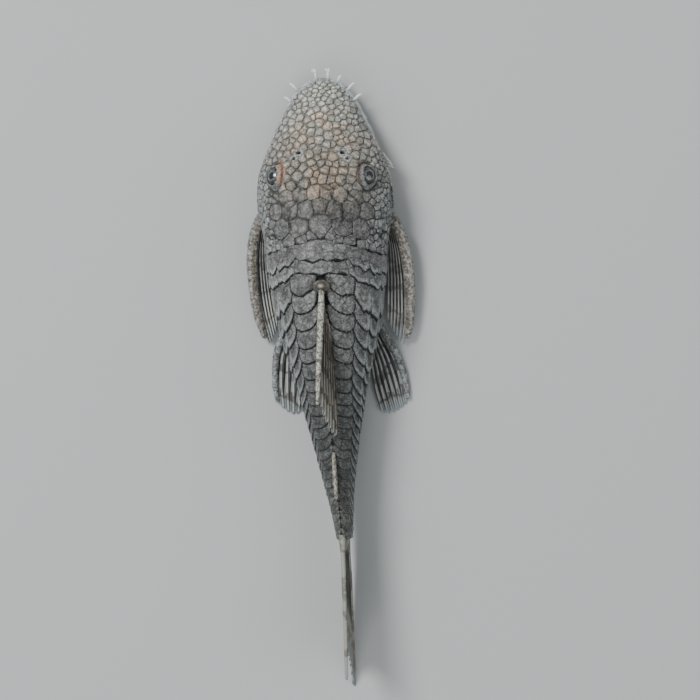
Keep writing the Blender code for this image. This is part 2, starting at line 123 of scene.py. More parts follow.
def head_relief(distance, aside):
    """The height of brows, crest and nostril hollows over the smooth head."""
    brow = 0.7 * bump(distance, 17.6, 3.6) * bump(aside, 6.6, 1.7)
    crest = 0.35 * bump(distance, 26.5, 3.5) * bump(aside, 0.0, 2.6)
    nostril = 0.3 * bump(distance, 14.3, 1.3) * bump(aside, 4.0, 1.1)
    return brow + crest - nostril


# Each row is one section of the body, from back to belly in equal steps of girth. The rows stand closest at
# the snout, and each section is first drawn in fine steps of angle from the back to the widest level and on.
ROWS, RING_STEPS, ROW_POWER = 900, 300, 1.5
STEPS_TO_WIDEST = 750
row_distances = STANDARD_LENGTH * np.linspace(0, 1, ROWS) ** ROW_POWER
station_distances, *station_sizes = zip(*BODY_STATIONS)
station_roots, row_roots = np.sqrt(station_distances), np.sqrt(row_distances)
half_width, underside, widest, back, round_above, round_below = [
    smooth_curve(station_roots, sizes)(row_roots)[:, None] for sizes in station_sizes
]
turns = np.linspace(0, math.pi, 2 * STEPS_TO_WIDEST + 1)
above = np.cos(turns) > 0
turn_power = 2 / np.where(above, round_above, round_below)
turn_aside = half_width * np.abs(np.sin(turns)) ** turn_power
turn_rise = np.abs(np.cos(turns)) ** turn_power
level_above = widest + (back - widest + head_relief(row_distances[:, None], turn_aside)) * turn_rise
level_below = np.maximum(widest - (widest - underside) * turn_rise, 0.0)
turn_level = np.where(above, level_above, level_below)
steps_round = np.hypot(np.diff(turn_aside), np.diff(turn_level))
arcs = np.concatenate([np.zeros((ROWS, 1)), np.cumsum(steps_round, axis=1)], axis=1) + turns * 1e-9
half_girths = arcs[:, -1]
widest_girths = arcs[:, STEPS_TO_WIDEST] / half_girths
girth_steps = np.linspace(0, 1, RING_STEPS + 1)
ring_aside = np.array([np.interp(girth_steps * a[-1], a, x) for a, x in zip(arcs, turn_aside)])
ring_level = np.array([np.interp(girth_steps * a[-1], a, z) for a, z in zip(arcs, turn_level)])


def at_row(values, distance):
    """One of the values that each row has, at any distance."""
    return np.interp(distance, row_distances, values)


def surface(distance, girth):
    """Points of the body's surface."""
    distance, girth = np.broadcast_arrays(np.clip(distance, 0, STANDARD_LENGTH), np.clip(girth, -1, 1))
    row = (distance / STANDARD_LENGTH) ** (1 / ROW_POWER) * (ROWS - 1)
    column = np.abs(girth) * RING_STEPS
    i, j = np.minimum(row.astype(int), ROWS - 2), np.minimum(column.astype(int), RING_STEPS - 1)
    f, g = row - i, column - j

    def mixed(table):
        near = table[i, j] * (1 - g) + table[i, j + 1] * g
        far = table[i + 1, j] * (1 - g) + table[i + 1, j + 1] * g
        return near * (1 - f) + far * f

    aside = mixed(ring_aside) * np.sign(girth)
    return np.stack([midline(distance) + aside, distance, mixed(ring_level)], axis=-1)


def unit(vectors):
    """Vectors of the same direction and length 1."""
    return vectors / np.maximum(np.linalg.norm(vectors, axis=-1, keepdims=True), 1e-9)


DISTANCE_STEP, GIRTH_STEP = 0.12, 0.005


def slopes_at(distance, girth):
    """How the surface runs per millimetre of distance and per unit of girth, and its outward normal."""
    ahead = np.minimum(distance + DISTANCE_STEP, STANDARD_LENGTH)
    behind = np.maximum(distance - DISTANCE_STEP, 0.0)
    over, short = np.minimum(girth + GIRTH_STEP, 1.0), np.maximum(girth - GIRTH_STEP, -1.0)
    along = (surface(ahead, girth) - surface(behind, girth)) / (ahead - behind)[..., None]
    round_it = (surface(distance, over) - surface(distance, short)) / (over - short)[..., None]
    return along, round_it, unit(np.cross(round_it, along))


def girth_at(distance, aside):
    """The girth, on the upper half of the body, of a place aside of the midline."""
    row = int((distance / STANDARD_LENGTH) ** (1 / ROW_POWER) * (ROWS - 1))
    top = ring_aside[row].argmax() + 1
    return math.copysign(float(np.interp(abs(aside), ring_aside[row][:top], girth_steps[:top])), aside)


def box_middle(node):
    """The middle of a solid's box, in millimetres."""
    low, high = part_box(node)
    return np.array((Vector(low) + Vector(high)) / 2 / MM)


# The solid of the mouth shows how far the fish's own frame is from the frame of the solids.
MOUTH_DISTANCE = 6.8
mouth_middle = box_middle("mouth_disc")
SHIFT = np.array([mouth_middle[0] - midline(MOUTH_DISTANCE), mouth_middle[1] - MOUTH_DISTANCE, 0.0])


def placed(points):
    """Metres in the frame of the solids, from millimetres in the fish's own."""
    return (np.asarray(points, float).reshape(-1, 3) + SHIFT) * MM


def facing_out(points, faces):
    """The faces of closed shells, turned round if they were made inside out."""
    volume = 0.0
    for corners in (3, 4):
        kind = np.array([face for face in faces if len(face) == corners], int)
        for i in range(1, corners - 1):
            if len(kind):
                a, b, c = points[kind[:, 0]], points[kind[:, i]], points[kind[:, i + 1]]
                volume += (a * np.cross(b, c)).sum()
    return faces if volume > 0 else [face[::-1] for face in faces]


def add_object(name, data):
    """A new object of the scene."""
    thing = bpy.data.objects.new(name, data)
    bpy.context.scene.collection.objects.link(thing)
    return thing


def make_piece(name, points, faces, attributes=None, bake_places=None):
    """A smooth-shaded mesh with its attributes and, for coat pieces, the map for baking its colours."""
    faces = facing_out(np.asarray(points, float), faces)
    mesh = bpy.data.meshes.new(name)
    mesh.from_pydata(placed(points).tolist(), [], faces)
    for key, values in (attributes or {}).items():
        layer = mesh.attributes.new(key, "FLOAT", "POINT")
        layer.data.foreach_set("value", np.asarray(values, np.float32).ravel())
    if bake_places is not None:
        add_bake_map(mesh, bake_places)
    mesh.shade_smooth()
    return add_object(name, mesh)


def add_bake_map(mesh, places):
    """OFBake has each corner at its vertex's place on an unwrap of the skin."""
    corners = np.zeros(len(mesh.loops), np.int32)
    mesh.loops.foreach_get("vertex_index", corners)
    layer = mesh.uv_layers.new(name="OFBake")
    layer.uv.foreach_set("vector", np.asarray(places, np.float32).reshape(-1, 2)[corners].ravel())


def unwrap(distance, girth):
    """Places on the unwrap of the skin, which leaves a narrow margin."""
    return np.stack(np.broadcast_arrays(distance / STANDARD_LENGTH, (girth + 1) / 2), axis=-1) * 0.98 + 0.01


def tube_faces(rows, columns, first=0):
    """Faces of a closed tube of rings: the vertices are the rings, then a pole at each end."""
    faces = []
    for i in range(rows - 1):
        for j in range(columns):
            k = (j + 1) % columns
            a, b = first + i * columns, first + (i + 1) * columns
            faces.append((a + j, a + k, b + k, b + j))
    front, rear = first + rows * columns, first + rows * columns + 1
    last = first + (rows - 1) * columns
    for j in range(columns):
        k = (j + 1) % columns
        faces.append((front, first + k, first + j))
        faces.append((rear, last + j, last + k))
    return faces


def dress(piece, material, slot, *nodes):
    """Gives a finished piece its material, hangs it on the root of the frame and hides the solids it
    replaces.
    """
    piece.data.materials.clear()
    piece.data.materials.append(material)
    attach(piece, "root")
    if nodes:
        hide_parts(*nodes)


class Shade:
    """A socket of a material's nodes that can be used in sums."""

    def __init__(self, tree, socket=None):
        self.tree, self.socket = tree, socket

    def node(self, kind, settings=None, inputs=None, output=0):
        """Adds a node, sets it up, feeds its sockets and gives one of its outputs."""
        made = self.tree.nodes.new(kind)
        for key, value in (settings or {}).items():
            if key == "stops":
                fill_ramp(made.color_ramp, value)
            else:
                setattr(made, key, value)
        for key, value in (inputs or {}).items():
            if isinstance(value, Shade):
                self.tree.links.new(value.socket, made.inputs[key])
            else:
                made.inputs[key].default_value = value
        return Shade(self.tree, made.outputs[output])

    def maths(self, operation, first, second=0.0):
        return self.node("ShaderNodeMath", {"operation": operation}, {0: first, 1: second})

    def __add__(self, other):
        return self.maths("ADD", self, other)

    def __rsub__(self, other):
        return self.maths("SUBTRACT", other, self)

    def __mul__(self, other):
        return self.maths("MULTIPLY", self, other)

    __radd__ = __add__
    __rmul__ = __mul__

    def between(self, low, high):
        """0 below low, 1 above high, and smooth between; the other way round where low is above high."""
        settings = {"interpolation_type": "SMOOTHSTEP"}
        return self.node("ShaderNodeMapRange", settings, {"Value": self, "From Min": low, "From Max": high})

    def mix(self, first, second, factor):
        """A mix of two colours."""
        inputs = {"Factor": factor, "A": opaque(first), "B": opaque(second)}
        return self.node("ShaderNodeMix", {"data_type": "RGBA"}, inputs, "Result")

    def painted(self, colour, *coats):
        """A colour with others laid over it in turn, each as (colour, factor)."""
        for over, factor in coats:
            colour = self.mix(colour, over, factor)
        return colour

    def ramp(self, stops, factor):
        return self.node("ShaderNodeValToRGB", {"stops": stops}, {"Fac": factor})

    def attribute(self, name):
        return self.node("ShaderNodeAttribute", {"attribute_name": name}, output="Fac")

    def noise(self, scale, detail):
        """Noise with so many spots to the millimetre."""
        place = self.node("ShaderNodeTexCoord", output="Object")
        sizes = (scale / MM,) * 3
        mapped = self.node("ShaderNodeMapping", {}, {"Vector": place, "Scale": sizes})
        return self.node("ShaderNodeTexNoise", {}, {"Vector": mapped, "Scale": 1.0, "Detail": detail})

    def cells(self, scale):
        """Distance from the border of rounded cells, with so many to the millimetre."""
        place = self.node("ShaderNodeTexCoord", output="Object")
        inputs = {"Vector": place, "Scale": scale / MM, "Randomness": 0.85}
        return self.node("ShaderNodeTexVoronoi", {"feature": "DISTANCE_TO_EDGE"}, inputs, "Distance")


def opaque(colour):
    return colour if isinstance(colour, Shade) else (*colour, 1.0)


def fill_ramp(ramp, stops):
    while len(ramp.elements) < len(stops):
        ramp.elements.new(1.0)
    for element, (place, colour) in zip(ramp.elements, stops):
        element.position, element.color = place, (*colour, 1.0)


def new_material(name, **constants):
    """A material, its shader and a Shade to draw with. Constants are set on the shader's own sockets."""
    material = bpy.data.materials.new(name)
    material.use_nodes = True
    shader = material.node_tree.nodes["Principled BSDF"]
    for key, value in constants.items():
        shader.inputs[key.replace("_", " ").title().replace("Ior", "IOR")].default_value = value
    return material, shader, Shade(material.node_tree)


def feed(shader, shade, **sources):
    """Joins sockets to the shader's inputs."""
    for key, value in sources.items():
        shade.tree.links.new(value.socket, shader.inputs[key.replace("_", " ").title()])


def bumped(shade, height, distance):
    """A bump of so many millimetres for a height of 1."""
    sizes = {"Height": height, "Strength": 1.0, "Distance": distance * MM}
    return shade.node("ShaderNodeBump", {}, sizes, "Normal")


# Where the plates end, as millimetres of girth below the widest level of the body
PLATE_EDGE = smooth_curve(
    (0.0, 6.0, 12.0, 18.0, 22.0, 27.0, 34.0, 45.0, 56.0, 62.0),
    (-1.5, -1.7, -1.8, -1.5, 0.4, 3.0, 4.5, 5.6, 5.5, 9.0),
)
# Where the plates begin behind the tip of the snout, and how far the skin is sunk under them
PLATE_FRONT = 0.65
PLATE_SINK = 0.22


def plate_edge(distance):
    """The girth at which the plates end and naked skin begins."""
    below = PLATE_EDGE(distance) / at_row(half_girths, distance)
    return np.minimum(at_row(widest_girths, distance) + below, 0.985)


# The eyeball, the opening of its lids, the groove round the lids, which are longer than wide, and how much
# further up the eye looks than the skin about it
EYE_RADIUS = 2.15
EYE_OPENING = 0.95
EYE_RING = 1.62
EYE_STRETCH = 1.5
EYE_UPTURN = 0.30
LID_THICKNESS = 0.16
SIDES = ((1, "left"), (-1, "right"))
eyes = {}
for side, name in SIDES:
    centre = box_middle("eye_" + name) - SHIFT
    girth = girth_at(centre[1], centre[0] - midline(centre[1]))
    normal = slopes_at(centre[1:2], np.array([girth]))[2][0]
    eyes[name] = (centre, unit(normal + (0.0, -0.04, EYE_UPTURN)), side)


def round_axis(points, centre, axis):
    """Height above a centre along an axis, and the places along and across the fish about that axis."""
    offset = points - centre
    along_axis = unit(np.array([0.0, 1.0, 0.0]) - axis * axis[1])
    return offset @ axis, offset @ along_axis, offset @ np.cross(axis, along_axis)


# Distance, aside, radius and height of the flap of the two openings of each nostril
NOSTRIL_OPENINGS = ((14.2, 3.9, 0.42, 0.55), (15.15, 4.75, 0.28, 0.0))
nostrils = []
for distance, aside, radius, flap_height in NOSTRIL_OPENINGS:
    for side in (1, -1):
        place = (np.array([distance]), np.array([side * girth_at(distance, aside)]))
        nostrils.append((surface(*place)[0], slopes_at(*place)[2][0], radius, flap_height))

SKIN_ROWS, SKIN_RING = 430, 208
skin_share = (np.arange(SKIN_ROWS) + 0.4) / (SKIN_ROWS - 0.6)
skin_distance = (STANDARD_LENGTH * skin_share**1.3)[:, None]
ring_share = np.arange(SKIN_RING) / SKIN_RING * 2 - 1
skin_girth = (ring_share * (0.75 + 0.25 * ring_share**2))[None, :]
skin_distance, skin_girth = np.broadcast_arrays(skin_distance, skin_girth)
skin_points = surface(skin_distance, skin_girth)
skin_normals = slopes_at(skin_distance, skin_girth)[2]
below_edge = (np.abs(skin_girth) - plate_edge(skin_distance)) * at_row(half_girths, skin_distance)
plated = ease(-below_edge / 0.35) * ease((skin_distance - PLATE_FRONT + 0.3) / 0.4)
rise = -PLATE_SINK * plated
lid, blush, pit, pale_ring = [np.zeros_like(rise) for layer in range(4)]
for centre, axis, side in eyes.values():
    height, along, across = round_axis(skin_points, centre, axis)
    ring = np.hypot(along / EYE_STRETCH, across)
    near = (ring < 3.0) & (height > 0)
    shell = np.sqrt(np.maximum((EYE_RADIUS + LID_THICKNESS) ** 2 - along**2 - across**2, 0.0)) - height
    lid_rise = np.maximum(shell, rise) * ease((2.2 - ring) / 0.5) + rise * ease((ring - 1.7) / 0.5)
    lid_rise -= 0.12 * bump(ring, EYE_RING + 0.12, 0.1) - 0.1 * bump(ring, EYE_OPENING + 0.13, 0.1)
    past_opening = ease((ring - EYE_OPENING) / 0.14)
    lid_rise = lid_rise * past_opening - 1.2 * (1 - past_opening)
    rise = np.where(near, lid_rise, rise)
    lid = np.where(near, ease((2.05 - ring) / 0.3), lid)
    inner_front = ease((side * across * 0.9 - along * 0.35 - 0.25) / 1.0)
    crescent = ease((2.5 - ring) / 0.5) * ease((ring - 1.15) / 0.3)
    blush = np.where(near, (0.15 + 0.85 * (side > 0)) * inner_front * crescent, blush)
    # Painted shade darkens the groove round the lids and the rim of their opening.
    pit = np.where(near, 0.95 * bump(ring, EYE_RING + 0.14, 0.15) + 0.8 * (ring < EYE_OPENING + 0.04), pit)
for centre, axis, radius, flap_height in nostrils:
    height, along, across = round_axis(skin_points, centre, axis)
    ring = np.hypot(along, across)
    near = (ring < radius + 0.75) & (height > -2)
    flap = flap_height * bump(along, 0.35, 0.22) * bump(across, 0.0, 0.4)
    rim = 0.24 * bump(ring, radius + 0.2, 0.16)
    hole = -0.6 * (1 - ease((ring - radius + 0.18) / 0.22))
    level = np.maximum(rise, -0.1 * ease((radius + 0.75 - ring) / 0.3))
    rise = np.where(near, level + rim + hole + flap, rise)
    lid = np.where(near, np.maximum(lid, ease((radius + 0.65 - ring) / 0.3)), lid)
    pale_ring = np.where(near, np.maximum(pale_ring, bump(ring, radius + 0.24, 0.16)), pale_ring)
    # Painted shade darkens the nostril holes.
    pit = np.where(near, np.maximum(pit, 1.0 - ease((ring - radius + 0.2) / 0.24)), pit)

# The gill openings are slits in the skin that run inwards under the head from the roots of the pectoral fins.
girth_down = np.abs(skin_girth)
slit_line = 21.6 + 7.0 * (girth_down - 0.60)
slit_reach = ease((girth_down - 0.56) / 0.05) * ease((0.80 - girth_down) / 0.05)
slit = bump(skin_distance, slit_line, 0.32) * slit_reach
rise = rise - 0.35 * slit + 0.16 * bump(skin_distance, slit_line - 0.7, 0.5) * (slit > 0.001)
# Painted shade darkens the gill slits.
pit = np.maximum(pit, slit)

# The vent is a dimple in the belly between the pelvic fins.
vent = bump(skin_distance, 46.5, 0.6) * bump(girth_down, 1.0, 0.035)
rise = rise - 0.4 * vent
# Painted shade darkens the dimple of the vent.
pit = np.maximum(pit, 0.8 * vent)
skin_points = skin_points + skin_normals * rise[..., None]
skin_points[..., 2] = np.maximum(skin_points[..., 2], 0.0)

# The darkest seams between the broad plates of the crown, partly pigment and partly painted shade, as
# (distance, aside) along each
CROWN_SEAMS = (
    ((19.8, 4.3), (20.9, 3.3), (20.7, 2.3), (19.7, 1.9)),
    ((20.4, -0.4), (20.9, -1.9), (19.8, -3.5), (19.0, -4.3)),
    ((21.2, 3.7), (22.8, 4.0), (24.2, 5.3), (26.1, 5.6), (28.0, 5.2)),
    ((21.5, -2.0), (23.1, -2.5), (23.9, -4.0), (26.1, -4.0), (27.2, -3.2)),
    ((21.5, 9.2), (22.9, 7.5), (23.8, 6.4)),
    ((20.4, -4.7), (21.8, -5.2), (22.6, -6.3), (24.4, -7.2)),
    ((14.5, -11.3), (17.5, -11.9), (20.0, -12.0), (23.5, -12.3)),
    ((16.5, 11.6), (19.5, 12.0), (22.5, 12.2)),
    ((38.4, 1.75), (37.2, 1.75), (36.3, 1.15), (35.95, 0.0), (36.3, -1.15), (37.2, -1.75), (38.4, -1.75)),
    ((28.2, 10.2), (28.9, 9.7), (28.5, 8.9), (29.2, 8.2)),
    ((28.9, 9.7), (29.4, 9.3)),
    ((27.9, -11.0), (28.5, -10.3), (28.2, -9.6), (28.7, -8.8)),
    ((28.5, -10.3), (29.3, -10.0)),
)


def seam_at(points):
    """1 on a seam of the crown and 0 a little way from it."""
    nearest = np.full(points.shape[:-1], 9.0)
    flat = np.stack([points[..., 1], points[..., 0] - midline(points[..., 1])], axis=-1)
    for seam in CROWN_SEAMS:
        for first, last in zip(np.array(seam), np.array(seam)[1:]):
            run = last - first
            share = np.clip(((flat - first) @ run) / (run @ run), 0, 1)
            wobble = 0.12 * np.sin(flat[..., 0] * 4.1) * np.sin(flat[..., 1] * 3.7)
            gap = np.linalg.norm(flat - first - share[..., None] * run, axis=-1) + wobble
            nearest = np.minimum(nearest, gap)
    return ease((0.30 - nearest) / 0.22) * (points[..., 2] > 3.0)


skin_poles = np.array([surface(0.0, 0.0) + (0, -0.02, 0), surface(STANDARD_LENGTH, 0.45) * (0, 1, 1)])
skin_poles[1][0] = midline(STANDARD_LENGTH)
under = ease(below_edge / 0.8) * ease((skin_distance - 8.0) / 5.0)
marks = {"plated": plated, "under": under, "lid": lid, "pale_ring": pale_ring, "blush": blush}
marks["pit"] = np.clip(pit, 0, 1)
marks = {key: np.append(values.ravel(), [0.0, 0.0]) for key, values in marks.items()}
marks["along"] = np.append(skin_distance.ravel() / STANDARD_LENGTH, [0.0, 1.0])
skin_points = np.concatenate([skin_points.reshape(-1, 3), skin_poles])
skin = make_piece("skin", skin_points, tube_faces(SKIN_ROWS, SKIN_RING), marks)

# The skin in the grooves between plates: its own colour darkened with painted shade, nearly black behind the
# head
GROOVE_COLOUR_AND_SHADE = (0.185, 0.178, 0.155)
CROWN_GROOVE_COLOUR_AND_SHADE = (0.060, 0.060, 0.056)
DARK_GROOVE_COLOUR_AND_SHADE = (0.006, 0.007, 0.008)
RIM_COLOUR, RIM_CLOUD, RIM_SPECK = (0.50, 0.555, 0.565), (0.20, 0.22, 0.22), (0.10, 0.11, 0.11)
BELLY_COLOUR, BELLY_CLOUD, BELLY_SPECK = (0.30, 0.27, 0.225), (0.22, 0.20, 0.175), (0.13, 0.12, 0.108)
LID_COLOUR, LID_FLECK = (0.105, 0.108, 0.105), (0.22, 0.225, 0.215)
NOSTRIL_RIM_COLOUR = (0.44, 0.45, 0.42)
BLUSH_COLOUR = (0.52, 0.31, 0.22)
PIT_SHADE_COLOUR = (0.010, 0.011, 0.012)
skin_material, shader, shade = new_material("naked_skin", coat_roughness=0.25, specular_ior_level=0.3)
mottle = shade.noise(0.8, 4.0)
speckle = shade.noise(3.2, 3.0)
along, plated_here = shade.attribute("along"), shade.attribute("plated")
rim = shade.mix(RIM_COLOUR, RIM_CLOUD, mottle.between(0.42, 0.66))
belly = shade.mix(BELLY_COLOUR, BELLY_CLOUD, mottle.between(0.35, 0.75))
groove = shade.mix(GROOVE_COLOUR_AND_SHADE, CROWN_GROOVE_COLOUR_AND_SHADE, along.between(0.12, 0.27))
colour = shade.painted(
    shade.mix(rim, RIM_SPECK, speckle.between(0.58, 0.72) * 0.5),
    (shade.mix(belly, BELLY_SPECK, speckle.between(0.54, 0.70) * 0.55), shade.attribute("under")),
    # Painted shade in the grooves between plates, over the skin's own colour
    (shade.mix(groove, DARK_GROOVE_COLOUR_AND_SHADE, along.between(0.31, 0.38)), plated_here),
    (shade.mix(LID_COLOUR, LID_FLECK, speckle.between(0.45, 0.62)), shade.attribute("lid")),
    (NOSTRIL_RIM_COLOUR, shade.attribute("pale_ring") * speckle.between(0.40, 0.56)),
    (BLUSH_COLOUR, shade.attribute("blush") * speckle.between(0.25, 0.55)),
    # Painted shade in the lid grooves, nostril holes, gill slits and vent
    (PIT_SHADE_COLOUR, shade.attribute("pit")),
)
relief = bumped(shade, speckle + mottle * 0.5, 0.12)
gloss = 0.15 * (1.0 - plated_here)
feed(shader, shade, base_color=colour, normal=relief, roughness=0.42 + 0.45 * plated_here, coat_weight=gloss)
dress(skin, skin_material, "skin", "head", "gill_cover_left", "gill_cover_right", "trunk", "tail_stalk")

# Each eye is a wet ball sunk in the head, with a dark iris round a black pupil. It shows through the opening
# of the lids, which the skin forms over it.
BALL_ROWS, BALL_RING = 40, 56
PUPIL, IRIS_RIM, IRIS = 0.62, 0.92, 1.25
PUPIL_COLOUR, IRIS_COLOUR, IRIS_FLECK = (0.004, 0.005, 0.007), (0.050, 0.060, 0.070), (0.17, 0.165, 0.145)
IRIS_RIM_COLOUR, LOBE_COLOUR = (0.010, 0.012, 0.014), (0.06, 0.062, 0.06)
eye_material, shader, shade = new_material("wet_eye", roughness=0.2, coat_weight=1.0, coat_roughness=0.02)
from_axis = shade.attribute("from_axis")
colour = shade.painted(
    PUPIL_COLOUR,
    (
        shade.mix(IRIS_COLOUR, IRIS_FLECK, shade.noise(4.0, 4.0).between(0.46, 0.66)),
        from_axis.between(PUPIL - 0.05, PUPIL + 0.05),
    ),
    (IRIS_RIM_COLOUR, from_axis.between(IRIS_RIM, IRIS - 0.15)),
    # The lobe of iris that hangs into the pupil from above makes it a horseshoe.
    (LOBE_COLOUR, shade.attribute("upper").between(0.05, 0.22) * from_axis.between(0.5, 0.25) * 0.5),
)
feed(shader, shade, base_color=colour)


def turn_steps(count):
    """Equal steps of angle once round."""
    return np.linspace(0, math.tau, count, endpoint=False)


for name, (centre, axis, side) in eyes.items():
    forward = unit(np.array([0.0, 1.0, 0.0]) - axis * axis[1])
    sideways = np.cross(axis, forward)
    polar = np.linspace(0.03, math.pi - 0.03, BALL_ROWS)[:, None]
    turn = turn_steps(BALL_RING)[None, :]
    out = np.sin(polar)[..., None] * (np.cos(turn)[..., None] * forward + np.sin(turn)[..., None] * sideways)
    ball = centre + EYE_RADIUS * (np.cos(polar)[..., None] * axis + out)
    poles = np.array([centre + axis * EYE_RADIUS, centre - axis * EYE_RADIUS])
    from_axis = np.where(polar < math.pi / 2, EYE_RADIUS * np.sin(polar), EYE_RADIUS)
    from_axis = np.broadcast_to(from_axis, (BALL_ROWS, BALL_RING))
    upper = np.sin(polar) * np.sin(turn) * side
    piece = make_piece(
        "eyeball_" + name,
        np.concatenate([ball.reshape(-1, 3), poles]),
        tube_faces(BALL_ROWS, BALL_RING),
        {
            "from_axis": np.append(from_axis.ravel(), [0.0, EYE_RADIUS]),
            "upper": np.append(upper.ravel(), [0.0, 0.0]),
        },
    )
    dress(piece, eye_material, "eye", "eye_" + name)

# The head is paved with small bony plates, each a low rounded pillow with a groove round it. They are finest
# at the snout and broadest on the crown, and they end at the first band of the nape.
PLATE_CORNERS = 24
PLATE_GROOVE = 0.10
PLATE_ROUNDNESS = 9.0
# Each plate is drawn as rings of corners: how far out each ring lies, and its height above the surface
PLATE_ROWS = (0.0, 0.35, 0.62, 0.82, 0.93, 1.0, 1.0)
PLATE_LEVELS = (0.09, 0.08, 0.055, 0.02, -0.03, -0.12, -0.34)

# Distance, aside and radius of the broad plates of the crown. Those off the midline have a twin opposite.
CROWN_PLATES = (
    (27.2, 0.0, 1.75),
    (23.6, 0.0, 1.25),
    (21.2, 1.15, 1.15),
    (24.3, 2.6, 1.35),
    (27.6, 3.9, 1.55),
    (21.6, 3.6, 1.2),
    (24.2, 5.4, 1.4),
    (27.9, 7.3, 1.6),
    (22.0, 6.2, 1.2),
    (24.6, 8.4, 1.35),
    (29.5, 3.35, 0.75),
)
TRIES, TRIES_FOR_LARGE_PLATES = 26000, 13000
SMALL_PLATE = 0.72
plate_spacing = smooth_curve((0.0, 3.0, 8.0, 14.0, 20.0, 30.0), (0.92, 1.08, 1.28, 1.4, 1.6, 1.95))


def crown_line(aside):
    """Where the head plates end and the bands of the nape begin."""
    lobes = 0.32 * np.abs(np.cos(np.abs(aside) * 1.15)) - 0.2
    return 29.45 + lobes + 1.0 * ease(np.abs(aside) / 4.5) + 1.5 * ease((np.abs(aside) - 4.0) / 7.0)


def ring_by_ring(values):
    """A value for each of a scale's points, from one for each ring. The first and last are the poles' too."""
    return np.append(np.repeat(values[1:], PLATE_CORNERS), [values[0], values[-1]])


def add_scales(name, distance, girth, levels, centres, attributes):
    """Closed low scales from places and heights above the surface: ring after ring, then two poles."""
    normals = slopes_at(distance, girth)[2]
    points = surface(distance, girth) + normals * levels[..., None]
    points[..., 2] = np.maximum(points[..., 2], 0.02)
    count, vertices = distance.shape
    faces = []
    for scale in range(count):
        faces += tube_faces(vertices // PLATE_CORNERS, PLATE_CORNERS, scale * vertices)
    middle = unwrap(*centres)[:, None, :]
    places = middle + 0.8 * (unwrap(distance, girth) - middle)
    attributes["along"] = distance / STANDARD_LENGTH
    attributes["seam"] = seam_at(points)
    return make_piece(name, points.reshape(-1, 3), faces, attributes, places)


random = np.random.default_rng(11)
seeds = []
for distance, aside, radius in CROWN_PLATES:
    girth = girth_at(distance, aside)
    seeds += [(distance, side * girth, radius) for side in ((1, -1) if aside else (1,))]
tried_distance = 0.6 + 30.9 * random.random(TRIES) ** 0.8
tried_girth = random.uniform(-1, 1, TRIES) * plate_edge(tried_distance)
tried_points = surface(tried_distance, tried_girth)
seed_points = [surface(seed[0], seed[1]) for seed in seeds]
spacings = plate_spacing(tried_distance) * random.uniform(0.84, 1.14, TRIES)
tried_aside = np.abs(tried_points[:, 0] - midline(tried_distance))
on_crown = (np.abs(tried_distance - 24.0) < 3.5) & (tried_aside < 8.0)
spacings *= np.where((np.arange(TRIES) < TRIES_FOR_LARGE_PLATES) | on_crown, 1.0, SMALL_PLATE)
spacings *= 1 - 0.38 * ease((tried_aside - 7.6) / 2.0) * ease((tried_distance - 14.0) / 3.0)
for place, distance, girth, spacing in zip(tried_points, tried_distance, tried_girth, spacings):
    aside = place[0] - midline(distance)
    room_behind = crown_line(aside) - distance
    room_below = (plate_edge(distance) - abs(girth)) * at_row(half_girths, distance)
    if room_behind < 0.35 * spacing or room_below < 0.35 * spacing or distance < PLATE_FRONT + 0.3:
        continue
    eye_gaps = []
    for centre, axis, side in eyes.values():
        height, along, across = round_axis(place, centre, axis)
        eye_gaps.append(math.hypot(along / EYE_STRETCH, across) if height > 0 else 9.0)
    nostril_gaps = [np.linalg.norm(place - nostril[0]) - nostril[2] for nostril in nostrils]
    if min(eye_gaps) < 1.95 + 0.3 * spacing or min(nostril_gaps) < 0.28 + 0.35 * spacing:
        continue
    gaps = np.linalg.norm(np.array(seed_points) - place, axis=1)
    apart = (np.array([seed[2] for seed in seeds]) + spacing / 2) * 0.98
    if (gaps > apart).all():
        seeds.append((distance, girth, spacing / 2))
        seed_points.append(place)

# Each plate reaches out to walls half way to its neighbours and at the openings and edges round the head.
seeds = np.array(seeds)
seed_points = np.array(seed_points)
plate_distance, plate_girth, plate_radius = seeds.T
along, round_it, normals = slopes_at(plate_distance, plate_girth)
forward = unit(along)
sideways = np.cross(normals, forward)
corner_turns = np.arange(PLATE_CORNERS) / PLATE_CORNERS * math.tau
corner_ways = np.stack([np.cos(corner_turns), np.sin(corner_turns)], axis=-1)
corner_reach = np.zeros((len(seeds), PLATE_CORNERS))


def flat_way(offset, i):
    """The direction of an offset in the plane of a plate."""
    return unit(np.array([offset @ forward[i], offset @ sideways[i]]))


